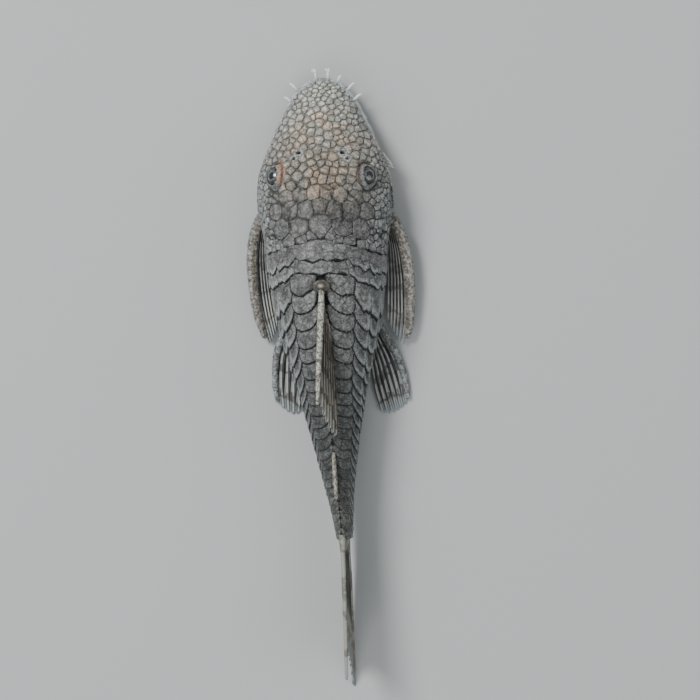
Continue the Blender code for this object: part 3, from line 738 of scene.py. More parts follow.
for i, place in enumerate(seed_points):
    offsets = seed_points - place
    gaps = np.linalg.norm(offsets, axis=1)
    near = (gaps > 0) & (gaps < 3.2 * plate_radius[i] + plate_radius)
    ways = np.stack([offsets[near] @ forward[i], offsets[near] @ sideways[i]], axis=-1)
    weights = (plate_radius[i] ** 2 - plate_radius[near] ** 2) / (2 * gaps[near])
    walls = list(zip(unit(ways), gaps[near] / 2 + weights))
    aside = place[0] - midline(plate_distance[i])
    walls.append((np.array([1.0, 0.0]), crown_line(aside) - plate_distance[i]))
    walls.append((np.array([-1.0, 0.0]), plate_distance[i] - PLATE_FRONT + 0.2))
    below = (plate_edge(plate_distance[i]) - abs(plate_girth[i])) * at_row(half_girths, plate_distance[i])
    outwards = np.sign(plate_girth[i]) * np.sign(round_it[i] @ sideways[i])
    walls.append((np.array([0.0, outwards]), below + 0.1))
    for centre, axis, side in eyes.values():
        height, eye_along, eye_across = round_axis(place, centre, axis)
        ring = math.hypot(eye_along / EYE_STRETCH, eye_across)
        if height > 0 and ring < 5:
            gap = math.hypot(eye_along, eye_across) * (1 - 2.0 / ring)
            walls.append((flat_way(centre - place, i), gap + 0.05))
    for centre, axis, radius, flap_height in nostrils:
        gap = np.linalg.norm(centre - place)
        if gap < 3:
            walls.append((flat_way(centre - place, i), gap - radius - 0.26))
    crown = ease((plate_distance[i] - 19.0) / 3.5) * ease((8.5 - abs(aside)) / 2.0)
    groove, roundness = PLATE_GROOVE * (1 - 0.5 * crown), PLATE_ROUNDNESS * (1 + 2 * crown)
    room = np.array([max(wall[1] - groove / 2, 0.15) for wall in walls])
    facing = np.maximum(corner_ways @ np.array([wall[0] for wall in walls]).T, 0.0)
    crowding = ((facing / room) ** roundness).sum(axis=1) + (1 / (1.75 * plate_radius[i])) ** roundness
    corner_reach[i] = crowding ** (-1 / roundness)

# Each plate's outline is scaled down ring by ring, and every point is carried to the curved surface.
corner_reach *= 1 + 0.035 * random.standard_normal(corner_reach.shape)
reach = corner_reach[:, None, :] * np.array(PLATE_ROWS[1:])[None, :, None]
flat_along = (reach * corner_ways[:, 0]).reshape(len(seeds), -1)
flat_across = (reach * corner_ways[:, 1]).reshape(len(seeds), -1)
along_square, cross_term = (along**2).sum(1), (along * round_it).sum(1)
round_square = (round_it**2).sum(1)
along_part = flat_along * np.sqrt(along_square)[:, None]
round_part = flat_along * (forward * round_it).sum(1)[:, None]
round_part = round_part + flat_across * (sideways * round_it).sum(1)[:, None]
size = (along_square * round_square - cross_term**2)[:, None]
distance_part = (round_square[:, None] * along_part - cross_term[:, None] * round_part) / size
girth_part = (along_square[:, None] * round_part - cross_term[:, None] * along_part) / size
no_shift = np.zeros((len(seeds), 2))
plate_distances = plate_distance[:, None] + np.concatenate([distance_part, no_shift], axis=1)
plate_girths = plate_girth[:, None] + np.concatenate([girth_part, no_shift], axis=1)
doming = np.clip(plate_radius, 0.5, 1.0) * np.interp(plate_distance, (18.0, 23.0), (0.9, 0.42))
lift = random.uniform(-0.03, 0.03, len(seeds))[:, None]
ring_levels = ring_by_ring(PLATE_LEVELS)
plate_levels = np.where(ring_levels > 0, ring_levels * doming[:, None], ring_levels) + lift
tone = random.random(len(seeds))
plate_aside = seed_points[:, 0] - midline(plate_distance)
warmth = bump(plate_distance, 11.5, 6.5) * (bump(plate_aside, 0.0, 4.5) + 0.25)
warmth = warmth + 0.8 * bump(plate_distance, 19.5, 3.0) * bump(plate_aside, 0.0, 6.0)
cheek = ease((np.abs(plate_girth) / at_row(widest_girths, plate_distance) - 0.46) / 0.26)
marks = {"tone": tone, "warmth": np.clip(warmth, 0, 1), "cheek": cheek, "scute": np.zeros(len(seeds))}
marks = {key: np.repeat(value, plate_levels.shape[1]) for key, value in marks.items()}
marks["edge"] = np.tile(ring_by_ring(PLATE_ROWS), len(seeds))
centres = (plate_distance, plate_girth)
head_plates = add_scales("head_plates", plate_distances, plate_girths, plate_levels, centres, marks)

# Colour from snout to tail, as a share of the length without the tail fin
PLATE_STOPS = (
    (0.0, (0.50, 0.515, 0.475)),
    (0.08, (0.42, 0.42, 0.375)),
    (0.16, (0.30, 0.285, 0.245)),
    (0.24, (0.175, 0.170, 0.150)),
    (0.31, (0.105, 0.104, 0.100)),
    (0.37, (0.145, 0.146, 0.142)),
    (0.50, (0.150, 0.153, 0.148)),
    (0.62, (0.098, 0.102, 0.099)),
    (0.80, (0.058, 0.062, 0.060)),
    (1.0, (0.100, 0.102, 0.094)),
)
WARM_COLOUR = (0.42, 0.285, 0.185)
CHEEK_COLOUR_AND_RIM_HIGHLIGHT = (0.285, 0.302, 0.298)
# Dark lines at plate rims, scute edges and seams: partly pigment, partly painted shade in the gaps
EDGE_PIGMENT_AND_SHADE_COLOUR = (0.006, 0.007, 0.008)
# Pale frosted denticles with a painted highlight on the scutes' raised edges
FROST_AND_HIGHLIGHT_COLOUR = (0.40, 0.435, 0.44)
plate_material, shader, shade = new_material(
    "bony_plates", roughness=0.55, coat_weight=0.08, coat_roughness=0.3, specular_ior_level=0.25
)
along, scute = shade.attribute("along"), shade.attribute("scute")
cloud, grain, dust = shade.noise(0.35, 3.0), shade.noise(1.3, 3.0), shade.noise(3.2, 2.0)
cells = shade.cells(0.62).between(0.02, 0.16)
colour = shade.painted(
    shade.ramp(PLATE_STOPS, along),
    # The plates down the sides of the head are paler and bluer, partly their own colour and partly a painted
    # rim highlight.
    (CHEEK_COLOUR_AND_RIM_HIGHLIGHT, shade.attribute("cheek") * 0.75),
    (WARM_COLOUR, shade.attribute("warmth") * cloud.between(0.38, 0.62) * 0.6),
)
brightness = (0.74 + 0.34 * shade.attribute("tone")) * (0.72 + 0.5 * cloud)
brightness = brightness * (0.68 + 0.66 * grain.between(0.32, 0.68))
brightness = brightness * (0.72 + 0.56 * dust.between(0.40, 0.62))
# Painted shade: a head plate is lighter in its middle and darker towards its rim, as a dome is lit, less so
# on the crown.
painted_dome_shade = shade.attribute("edge").between(0.25, 1.0) * (1.0 - scute)
painted_dome_shade = painted_dome_shade * (1.0 - 0.75 * along.between(0.20, 0.27))
brightness = brightness * (1.16 - 0.42 * painted_dome_shade)
brightness = brightness * (1.0 - 0.42 * (1.0 - cells) * along.between(0.22, 0.32))
scaled = {"Vector": colour, "Scale": brightness}
edge = shade.attribute("edge").between(0.72, 0.97)
colour = shade.painted(
    shade.node("ShaderNodeVectorMath", {"operation": "SCALE"}, scaled, "Vector"),
    # A pale frosted band on the scutes, partly pale denticles and partly painted highlight
    (FROST_AND_HIGHLIGHT_COLOUR, shade.attribute("frost") * dust.between(0.30, 0.52) * 0.8),
    # The rim of a head plate is faintly darkened with painted shade, and the rear edge of a scute is dark
    # until near the tail, partly pigment and partly painted shade in the gap under it.
    (EDGE_PIGMENT_AND_SHADE_COLOUR, edge * (1.0 - scute) * (0.16 - 0.10 * along.between(0.21, 0.28))),
    (EDGE_PIGMENT_AND_SHADE_COLOUR, edge * (scute * (1.0 - 0.5 * along.between(0.70, 0.86)))),
    # Dark seams, partly pigment and partly painted shade
    (EDGE_PIGMENT_AND_SHADE_COLOUR, shade.attribute("seam") * 0.85),
)
feed(shader, shade, base_color=colour, normal=bumped(shade, grain * 0.5 + dust * 0.8, 0.16))
dress(head_plates, plate_material, "skin")

# The scutes lie in bands right round the back and flanks. Each is a thin bony plate whose raised rear edge
# overlaps the next, and the bands are closer together towards the tail.

# Where each band begins and the last one ends
BAND_EDGES = (
    *(29.5, 32.9, 35.4, 38.75, 41.9, 45.0, 48.1, 50.8, 53.6, 56.0, 58.2, 60.3, 62.4, 64.3, 66.2),
    *(68.0, 69.7, 71.4, 73.0, 74.6, 76.1, 77.6, 79.1, 80.6, 82.0),
)
# Where one scute of a band ends and the next begins, as shares of the way from the back down to the belly. A
# band of the nape has one scute across the back, and a band behind it has two.
NAPE_BANDS = 2
NAPE_ROWS = (-0.26, 0.26, 0.46, 0.64, 0.82, 1.0)
FLANK_ROWS = (0.0, 0.30, 0.49, 0.66, 0.83, 1.0)
SCUTE_TUCK = 0.035
SCUTE_ROWS = (0.0, 0.4, 0.68, 0.82, 0.91, 1.0, 1.0)
SCUTE_DROPS = (0.0, 0.0, 0.0, -0.008, -0.03, -0.13, -0.40)
# How far a scute's front dips under the one before, and how far its rear edge is raised over the next
SCUTE_DIP, SCUTE_LIFT = 0.16, 0.22


def band_slant(share, distance, pitch):
    """How far a band's edge runs back at a share of the way down from the back to the belly."""
    reach = np.interp(distance, (29.5, 35.0, 39.0, 60.0), (2.0, 2.2, 4.3, 4.3))
    reach = reach * np.where(distance > 45, pitch / 3.0, 1)
    return reach * (ease((np.abs(share) - 0.12) / 0.44) - 0.75 * ease((np.abs(share) - 0.56) / 0.5))


tiles = []
for band, (front, rear) in enumerate(zip(BAND_EDGES, BAND_EDGES[1:])):
    rows = NAPE_ROWS if band < NAPE_BANDS else FLANK_ROWS
    tiles += [(front, rear, start, end) for start, end in zip(rows, rows[1:])]
    tiles += [(front, rear, -end, -start) for start, end in zip(rows, rows[1:]) if start >= 0]
tiles = np.array(tiles)
front, rear, start, end = [column[:, None] for column in tiles.T]
pitch = rear - front
first_band, in_nape = front < BAND_EDGES[1], front < BAND_EDGES[NAPE_BANDS]
wavy = front < BAND_EDGES[NAPE_BANDS + 1]
bluntness = np.where(np.cos(corner_turns) > 0.01, 3.4, 8.0)
squareness = (np.abs(corner_ways) ** bluntness[:, None]).sum(axis=1) ** (-1 / bluntness)
squares = squareness[:, None] * corner_ways
tile_places = (np.array(SCUTE_ROWS[1:])[:, None, None] * squares).reshape(-1, 2)
tile_places = np.concatenate([tile_places, np.zeros((2, 2))])
behind, across = (tile_places[:, 0] + 1)[None, :] / 2, tile_places[:, 1][None, :]
jitter = random.uniform(-1, 1, (len(tiles), 4, 1))

# A hollow is left for the fin on the back, and the sides of a scute are tucked under the one above.
hollow = np.interp(front, (35.0, 36.0, 42.0, 49.0, 51.0), (0.5, 0.75, 0.65, 0.4, 0.0)) * ~in_nape
scute_edge = plate_edge(front + pitch / 2)
half_round = at_row(half_girths, front + pitch / 2)
way = np.sign(start + end)
tuck_left, tuck_right = np.where(way > 0, SCUTE_TUCK, 0.0), np.where(way < 0, SCUTE_TUCK, 0.0)
inset_start = np.where(start == 0, hollow / (scute_edge * half_round), start - tuck_left)
inset_end = np.where(end == 0, -hollow / (scute_edge * half_round), end + tuck_right)
share = (inset_start + inset_end) / 2 + (inset_end - inset_start) / 2 * across
round_place = share * scute_edge * half_round

# The rear edges are arcs, deepest in the row along the back, and on the nape they are slightly wavy.
in_back_row = (np.abs(start + end) < 0.35) & ~in_nape
bow = np.where(in_back_row, 0.62, np.where(wavy, 0.06, 0.14))
scallop = np.where(wavy, 0.09 * np.sin(round_place * 2.7 + front) + 0.05 * np.sin(round_place * 5.3), 0.0)
unevenness = 0.06 * jitter[:, 0] * across + 0.04 * jitter[:, 1]
rounded_rear = (0.20 - bow * np.abs(across) ** 2.3 + unevenness + scallop) * pitch
tucked_front = front - 0.34 * pitch + band_slant(share, front, pitch)
starts_at = np.where(first_band, crown_line(round_place * 0.86) + 0.14, tucked_front)
ends_at = rear + band_slant(share, rear, pitch) + rounded_rear
scute_distance = starts_at + (ends_at - starts_at) * behind
scute_girth = share * plate_edge(scute_distance)

# The scutes are thickest on the nape and thin out towards the tail.
fade = np.interp(front, (28.0, 58.0, 82.0), (1.0, 0.75, 0.24))
slope = -SCUTE_DIP + (SCUTE_DIP + SCUTE_LIFT) * behind**1.3
slope = np.where(first_band, -0.02 + 0.19 * behind**1.5, slope)
dome = 0.10 * (1 - across**2) * (0.4 + 0.6 * behind) + 0.055 * across * way * ease(behind / 0.3)
scute_levels = (slope + dome + 0.02 * jitter[:, 2]) * fade + ring_by_ring(SCUTE_DROPS)

# The rear edge is marked dark, partly pigment and partly painted shade in the gap under it, and a pale
# frosted band lies before it on the flanks, partly pale denticles and partly a painted highlight on the
# raised edge.
rims = ring_by_ring(SCUTE_ROWS)
facing_rear = np.append(np.tile(corner_ways[:, 0], len(SCUTE_ROWS) - 1), [0.0, 0.0])
rearward = ease((facing_rear - np.where(in_nape, 0.15, -0.55)) / 0.6)
rear_pigment_and_shade = ease((rims - 0.74) / 0.15) * rearward
frost = bump(rims, 0.70, 0.15) * rearward * ease((np.abs(share) - 0.18) / 0.3)
# The lower rows of the fore flanks are paler: a painted highlight.
frost = np.maximum(frost, 0.55 * ease((np.abs(share) - 0.5) / 0.25) * ease((46.0 - front) / 10.0))
kept = (scute_distance.max(axis=1) < STANDARD_LENGTH + 0.9) & (scute_distance.min(axis=1) > 20)
scute_distance = np.minimum(scute_distance, STANDARD_LENGTH - 0.02)
marks = {"edge": np.maximum(rear_pigment_and_shade, 0.72), "tone": random.random((len(tiles), 1)), "frost": frost}
marks.update({"warmth": 0.0, "cheek": 0.0, "scute": 1.0})
marks = {key: (value * np.ones_like(scute_distance))[kept] for key, value in marks.items()}
scute_distance, scute_girth, scute_levels = scute_distance[kept], scute_girth[kept], scute_levels[kept]
centres = (scute_distance[:, -2], scute_girth[:, -2])
scutes = add_scales("scutes", scute_distance, scute_girth, scute_levels, centres, marks)
dress(scutes, plate_material, "skin")

# The mouth is a sucker: a soft oval disc of lips under the snout, covered in blunt papillae, with an opening
# in its middle and a barbel at each corner. It holds the fish to what it rests on and is hidden from above.
MOUTH_MIDDLE = np.array([midline(MOUTH_DISTANCE), MOUTH_DISTANCE, 0.0])
LIPS_HALF_WIDTH = 5.9
LIPS_HALF_LENGTH = 5.3
MOUTH_OPENING = (2.8, 1.5)
OPENING_SHARE = 0.46
LIPS_ROWS, LIPS_SEGMENTS = 95, 168
LAST_THROAT_ROW, LAST_PAPILLA_ROW = 60, 70
PAPILLA_RINGS, PAPILLAE_ROUND, FRILLS_ROUND = 62.0, 42, 34

# Share of the way out from the middle and level, from the throat round the lips to their roots in the skin
LIPS_PROFILE = (
    (0.0, 1.05),
    (0.12, 1.0),
    (0.30, 0.9),
    (0.40, 0.66),
    (0.46, 0.36),
    (0.52, 0.20),
    (0.60, 0.14),
    (0.72, 0.10),
    (0.84, 0.08),
    (0.92, 0.06),
    (0.97, 0.12),
    (1.0, 0.30),
    (0.99, 0.48),
    (0.95, 0.62),
    (0.90, 0.80),
    (0.86, 1.1),
    (0.80, 1.75),
)


def path_through(points, count):
    """A smooth path of so many points through the given ones."""
    points = np.array(points, float)
    lengths = np.linalg.norm(np.diff(points, axis=0), axis=1)
    places = np.concatenate([[0], np.cumsum(lengths)])
    wanted = np.linspace(0, places[-1], count)
    return np.stack([smooth_curve(places, column)(wanted) for column in points.T], axis=-1)


def evenly(values, count):
    """So many values, evenly along the given ones."""
    return np.interp(np.linspace(0, 1, count), np.linspace(0, 1, len(values)), values)


def rod(path, radii, sides, flatness=1.0):
    """A round rod along a path, with a rounded tip, as points, faces and shares of its length."""
    path = np.array(path, float)
    count = len(path)
    ahead = unit(np.gradient(path, axis=0))
    across = unit(np.cross(ahead, np.array([0.0, 0.0, 1.0]) + 1e-6))
    upright = np.cross(across, ahead)
    radii = evenly(radii, count)
    turn = turn_steps(sides)
    ways = np.cos(turn)[None, :, None] * across[:, None]
    ways = ways + flatness * np.sin(turn)[None, :, None] * upright[:, None]
    rings = path[:, None] + radii[:, None, None] * ways
    tip = path[-1] + ahead[-1] * radii[-1] * 0.7
    points = np.concatenate([rings.reshape(-1, 3), [path[0], tip]])
    share = np.append(np.repeat(np.linspace(0, 1, count), sides), [0.0, 1.0])
    return points, tube_faces(count, sides), share


def make_rods(name, rods, attributes=None, with_bake=False):
    """One piece of several rods."""
    points, faces, shares = [], [], []
    for rod_points, rod_faces, share in rods:
        first = sum(len(part) for part in points)
        faces += [tuple(corner + first for corner in face) for face in rod_faces]
        points.append(rod_points)
        shares.append(share)
    points = np.concatenate(points)
    layers = {"share": np.concatenate(shares), "along": points[:, 1] / STANDARD_LENGTH}
    layers.update(attributes or {})
    bake_places = None
    if with_bake:
        bake_places = unwrap(np.clip(points[:, 1], 0, STANDARD_LENGTH), np.clip(points[:, 0] / 16.0, -1, 1))
    return make_piece(name, points, faces, layers, bake_places)


profile = np.array(LIPS_PROFILE)
profile_steps = np.linalg.norm(np.diff(profile, axis=0) * (5.5, 1.0), axis=1)
profile_places = np.concatenate([[0], np.cumsum(profile_steps)])
fine = np.linspace(0, profile_places[-1], LIPS_ROWS + 1)
lip_radius = smooth_curve(profile_places, profile[:, 0])(fine)[1:, None]
lip_level = smooth_curve(profile_places, profile[:, 1])(fine)[1:, None]
lip_turn = turn_steps(LIPS_SEGMENTS)[None, :]
lip_row = np.arange(LIPS_ROWS)[:, None]
outer = np.stack([LIPS_HALF_WIDTH * np.sin(lip_turn), LIPS_HALF_LENGTH * np.cos(lip_turn)], axis=-1)
inner = np.stack([MOUTH_OPENING[0] * np.sin(lip_turn), MOUTH_OPENING[1] * np.cos(lip_turn)], axis=-1)
inner = inner / OPENING_SHARE
towards_rim = ease((lip_radius - 0.40) / 0.45)[..., None]
flat = lip_radius[..., None] * (inner * (1 - towards_rim) + outer * towards_rim)
rings_out = lip_radius * PAPILLA_RINGS
papilla = np.sin(rings_out) * np.cos(lip_turn * PAPILLAE_ROUND + 1.57 * np.floor(rings_out / math.pi))
on_lip = ease((lip_radius - 0.50) / 0.08) * ease((0.96 - lip_radius) / 0.05) * (lip_row < LAST_PAPILLA_ROW)
lip_level = np.maximum(lip_level - 0.12 * papilla * on_lip, 0.0)
flat = flat * (1 + 0.012 * np.sin(lip_turn * FRILLS_ROUND) * ease((lip_radius - 0.9) / 0.08))[..., None]
lip_points = np.concatenate([flat, lip_level[..., None]], axis=-1).reshape(-1, 3)
lip_poles = np.array([(0.0, 0.0, LIPS_PROFILE[0][1]), (0.0, 0.0, LIPS_PROFILE[-1][1])])
throat = (1 - ease((lip_radius - 0.34) / 0.16)) * (lip_row < LAST_THROAT_ROW) * np.ones_like(lip_turn)
lips = make_piece(
    "lips",
    np.concatenate([lip_points, lip_poles]) + MOUTH_MIDDLE,
    tube_faces(LIPS_ROWS, LIPS_SEGMENTS),
    {
        "papilla": np.append(((papilla * 0.5 + 0.5) * on_lip).ravel(), [0.0, 0.0]),
        "throat": np.append(throat.ravel(), [1.0, 0.0]),
    },
)

# How far out from the lips, distance behind the middle of the mouth and level
BARBEL_PATH = ((-0.25, 2.2, 0.62), (1.55, 3.3, 0.5), (2.5, 5.0, 0.34))
BARBEL_RADII = (0.42, 0.36, 0.30, 0.22, 0.12)
barbels = []
for side in (1, -1):
    path = [MOUTH_MIDDLE + (side * (LIPS_HALF_WIDTH + out), back, up) for out, back, up in BARBEL_PATH]
    barbels.append(rod(path_through(path, 14), BARBEL_RADII, 14))
barbels = make_rods("barbels", barbels)

LIP_COLOUR, LIP_SPOT, PAPILLA_COLOUR = (0.33, 0.285, 0.235), (0.20, 0.17, 0.145), (0.46, 0.41, 0.35)
THROAT_COLOUR = (0.30, 0.12, 0.09)
lip_material, shader, shade = new_material("soft_lips", roughness=0.5, coat_weight=0.2, coat_roughness=0.3)
colour = shade.painted(
    LIP_COLOUR,
    (LIP_SPOT, shade.noise(1.2, 3.0).between(0.45, 0.68)),
    (PAPILLA_COLOUR, shade.attribute("papilla").between(0.55, 0.95) * 0.7),
    (THROAT_COLOUR, shade.attribute("throat") * 0.9),
)
feed(shader, shade, base_color=colour, normal=bumped(shade, shade.noise(5.0, 2.0), 0.05))
dress(lips, lip_material, "lips", "mouth_disc")
dress(barbels, lip_material, "lips", "barbel_left", "barbel_right")

# Two combs of fine hooked teeth, one before and one behind the mouth's opening, rasp algae off what the fish
# clings to. They are amber and springy.
TEETH_IN_A_COMB = 22
# How far a tooth has hooked over towards the opening at each level
TOOTH_HOOK = ((0.0, 0.85), (0.12, 0.5), (0.38, 0.34))
TOOTH_RADII = (0.05, 0.045, 0.03)
AMBER, DARK_AMBER = (0.55, 0.42, 0.22), (0.42, 0.20, 0.07)
teeth = []
for way in (1, -1):
    for number in range(TEETH_IN_A_COMB):
        share = (number + 0.5) / TEETH_IN_A_COMB * 2 - 1
        if abs(share) < 0.06:
            continue
        aside = midline(MOUTH_DISTANCE) + share * 2.0
        distance = MOUTH_DISTANCE + way * (0.95 - 0.35 * share * share)
        bow = [(aside, distance - way * hook, level) for hook, level in TOOTH_HOOK]
        teeth.append(rod(path_through(bow, 4), TOOTH_RADII, 5))
teeth = make_rods("teeth", teeth)
tooth_material, shader, shade = new_material("amber_teeth", roughness=0.3)
colour = shade.mix(AMBER, DARK_AMBER, shade.attribute("share").between(0.4, 1.0))
feed(shader, shade, base_color=colour)
dress(teeth, tooth_material, "lips")

# Seven soft fleshy bristles stand on the rim of the snout, two of them forked. Each cheek has a small bunch
# of hooked bony spines that folds out of a groove before the gill cover.

# Distance, aside, length, heading in degrees and whether the bristle is forked
BRISTLES = (
    (0.5, 1.0, 2.1, 17, True),
    (0.5, -0.9, 2.1, -8, True),
    (0.7, -2.7, 1.2, -32, False),
    (2.3, -4.5, 1.8, -46, False),
    (4.1, -5.8, 1.6, -54, False),
    (2.3, 4.6, 1.9, 50, False),
    (4.3, 5.9, 1.3, 58, False),
)
BRISTLE_RADII = (0.46, 0.32, 0.26, 0.22, 0.16)
FORK_LENGTH = 0.85
FORK_SPREAD = 38.0
FORK_RADII = (0.19, 0.17, 0.12)
BRISTLE_FOOT, BRISTLE_COLOUR, BRISTLE_DAPPLE = (0.24, 0.25, 0.245), (0.74, 0.76, 0.74), (0.45, 0.46, 0.45)
# Distance and level of each cheek spine, then the length and sweep in degrees on the left and right cheek
CHEEK_SPINES = ((13.4, 5.1), (14.1, 5.1), (14.8, 5.1), (15.5, 5.0), (16.2, 4.9))
CHEEK_SPINE_LENGTH = {1: 1.1, -1: 2.1}
CHEEK_SPINE_SWEEP = {1: 150.0, -1: 118.0}
CHEEK_SPINE_RADII = (0.17, 0.16, 0.12, 0.04)
CHEEK_SPINE_FOOT, CHEEK_SPINE_COLOUR = (0.10, 0.10, 0.092), (0.46, 0.45, 0.40)


def heading_vector(side_degrees, rise_degrees):
    """Straight ahead is along -Y, and a positive heading turns towards the fish's left."""
    heading, level = math.radians(side_degrees), math.radians(rise_degrees)
    flat = math.cos(level)
    return np.array([math.sin(heading) * flat, -math.cos(heading) * flat, math.sin(level)])


bristles = []
for distance, aside, length, heading, forked in BRISTLES:
    inner = math.copysign(min(abs(aside), at_row(half_width[:, 0], distance) * 0.93), aside)
    root = surface(distance, girth_at(distance, inner))
    ahead = heading_vector(heading, 14)
    bowed = np.array([-math.copysign(0.10, aside), 0.0, 0.08])
    path = [root - ahead * 0.6, root + ahead * length * 0.25]
    path += [root + ahead * length * 0.65 + bowed, root + ahead * length]
    bristles.append(rod(path_through(path, 12), BRISTLE_RADII, 12))
    if forked:
        crotch = root + ahead * length * 0.62 + bowed * 0.9
        for spread, size in ((FORK_SPREAD, 1.0), (-FORK_SPREAD * 0.8, 0.7)):
            branch = crotch + heading_vector(heading + spread, 18) * FORK_LENGTH * size
            prong = path_through([crotch, (crotch + branch) / 2 + (0, 0, 0.03), branch], 7)
            bristles.append(rod(prong, FORK_RADII, 10))
bristles = make_rods("bristles", bristles)
bristle_material, shader, shade = new_material("pale_bristles", roughness=0.4, coat_weight=0.2)
colour = shade.mix(BRISTLE_FOOT, BRISTLE_COLOUR, shade.attribute("share").between(0.15, 0.62))
colour = shade.mix(colour, BRISTLE_DAPPLE, shade.noise(2.2, 2.0).between(0.5, 0.7) * 0.6)
feed(shader, shade, base_color=colour)
dress(bristles, bristle_material, "lips")

cheek_spines = []
for side in (1, -1):
    for number, (distance, level) in enumerate(CHEEK_SPINES):
        aside = side * at_row(half_width[:, 0], distance) * 0.965
        root = np.array([midline(distance) + aside, distance, level])
        turn = CHEEK_SPINE_SWEEP[side] - 8.0 * number
        out = heading_vector(side * turn, 12.0)
        hook = heading_vector(side * (turn + 60), 2.0)
        length = CHEEK_SPINE_LENGTH[side] * (1.0 - 0.08 * abs(number - 2))
        end = root + out * length * 0.8 + hook * length * 0.3
        path = [root - out * 0.5, root + out * length * 0.5, end]
        cheek_spines.append(rod(path_through(path, 9), CHEEK_SPINE_RADII, 8))
cheek_spines = make_rods("cheek_spines", cheek_spines)
cheek_bone, shader, shade = new_material("cheek_bone", roughness=0.35)
colour = shade.mix(CHEEK_SPINE_FOOT, CHEEK_SPINE_COLOUR, shade.attribute("share").between(0.35, 0.95))
feed(shader, shade, base_color=colour)
dress(cheek_spines, cheek_bone, "spine")

# The paired fins lie folded back against the flanks: a stout rough spine in front and a fan of branched bony
# rays behind it, with thin dark skin between them. The right pair stands out a little more than the left.

# Distance, aside and level along the spine and the innermost ray of each left fin
PECTORAL_SPINE = (
    *((25.0, 11.5, 3.7), (26.4, 12.3, 3.6), (28.6, 13.1, 3.4), (33.2, 13.7, 3.0)),
    *((38.2, 13.6, 2.5), (43.2, 13.0, 2.0), (46.6, 12.1, 1.6)),
)
PECTORAL_SPINE_RADII = (0.95, 0.98, 0.97, 0.93, 0.86, 0.76, 0.50)
PECTORAL_INNER_RAY = ((27.0, 10.6, 2.2), (31.0, 10.5, 1.8), (37.0, 10.0, 1.3), (44.6, 9.4, 0.8))
PELVIC_SPINE = (
    *((41.2, 6.7, 0.85), (42.6, 7.5, 0.8), (46.3, 9.0, 0.72)),
    *((50.7, 10.4, 0.66), (54.6, 10.8, 0.6), (58.2, 10.6, 0.58)),
)
PELVIC_SPINE_RADII = (0.56, 0.63, 0.64, 0.61, 0.54, 0.36)
PELVIC_INNER_RAY = ((46.0, 6.0, 0.40), (51.0, 6.0, 0.36), (55.5, 6.0, 0.34), (61.4, 6.9, 0.34))
# Kind, spine, its radii, innermost ray, degrees that the left and right fins are spread, distance and aside
# of the root about which they turn, and how far the first ray runs past the spine
PAIRED_FINS = (
    ("pectoral", PECTORAL_SPINE, PECTORAL_SPINE_RADII, PECTORAL_INNER_RAY, (0.0, 4.5), (25.6, 11.9), 1.9),
    ("pelvic", PELVIC_SPINE, PELVIC_SPINE_RADII, PELVIC_INNER_RAY, (0.0, 9.0), (42.0, 7.2), 1.1),
)
PAIRED_FIN_RAYS = {"pectoral_left": 6, "pectoral_right": 6, "pelvic_left": 4, "pelvic_right": 6}
PAIRED_FIN_TIPS = (0.98, 1.0, 1.0, 0.98, 0.92)
SPINE_STEPS, SPINE_SIDES = 60, 28
FIN_COLUMNS_TO_A_RAY = 10
FIN_LENGTHS = 54
FLOOR_GAP = 0.02


def spread_out(points, pivot, side, degrees):
    """A left fin's (distance, aside, level) points on either side, turned outwards about the fin's root."""
    turn = math.radians(degrees)
    distance, aside, level = np.array(points, float).T
    along, across = distance - pivot[0], aside - pivot[1]
    distance = pivot[0] + along * math.cos(turn) - across * math.sin(turn)
    aside = pivot[1] + along * math.sin(turn) + across * math.cos(turn)
    return np.stack([midline(distance) + side * aside, distance, level], axis=-1)


def sheet_faces(rows, columns):
    """Faces of a thin closed sheet: each ring runs across one side and back across the other."""
    ring = 2 * columns
    faces = []
    for i in range(rows - 1):
        for j in range(ring):
            k = (j + 1) % ring
            faces.append((i * ring + j, i * ring + k, (i + 1) * ring + k, (i + 1) * ring + j))
    last = (rows - 1) * ring
    for j in range(columns - 1):
        faces.append((j + 1, j, ring - 1 - j, ring - 2 - j))
        faces.append((last + j, last + j + 1, last + ring - 2 - j, last + ring - 1 - j))
    return faces


def make_sheet(name, one_side, other_side, marks, turned):
    """A thin closed sheet of two sides, each place of which has the same marks on both."""

    def ringed(first, second):
        rings = np.concatenate([first, second[:, ::-1]], axis=1)
        return rings[:, ::-1] if turned else rings

    rows, columns = one_side.shape[:2]
    layers = {}
    for key, value in marks.items():
        value = np.broadcast_to(value, (rows, columns))
        layers[key] = ringed(value, value).ravel()
    return make_piece(name, ringed(one_side, other_side).reshape(-1, 3), sheet_faces(rows, columns), layers)


def ray_phase(across, rays):
    """Where each column lies between the borders of its ray, from -0.5 to 0.5."""
    return across * rays - np.minimum(np.floor(across * rays), rays - 1) - 0.5


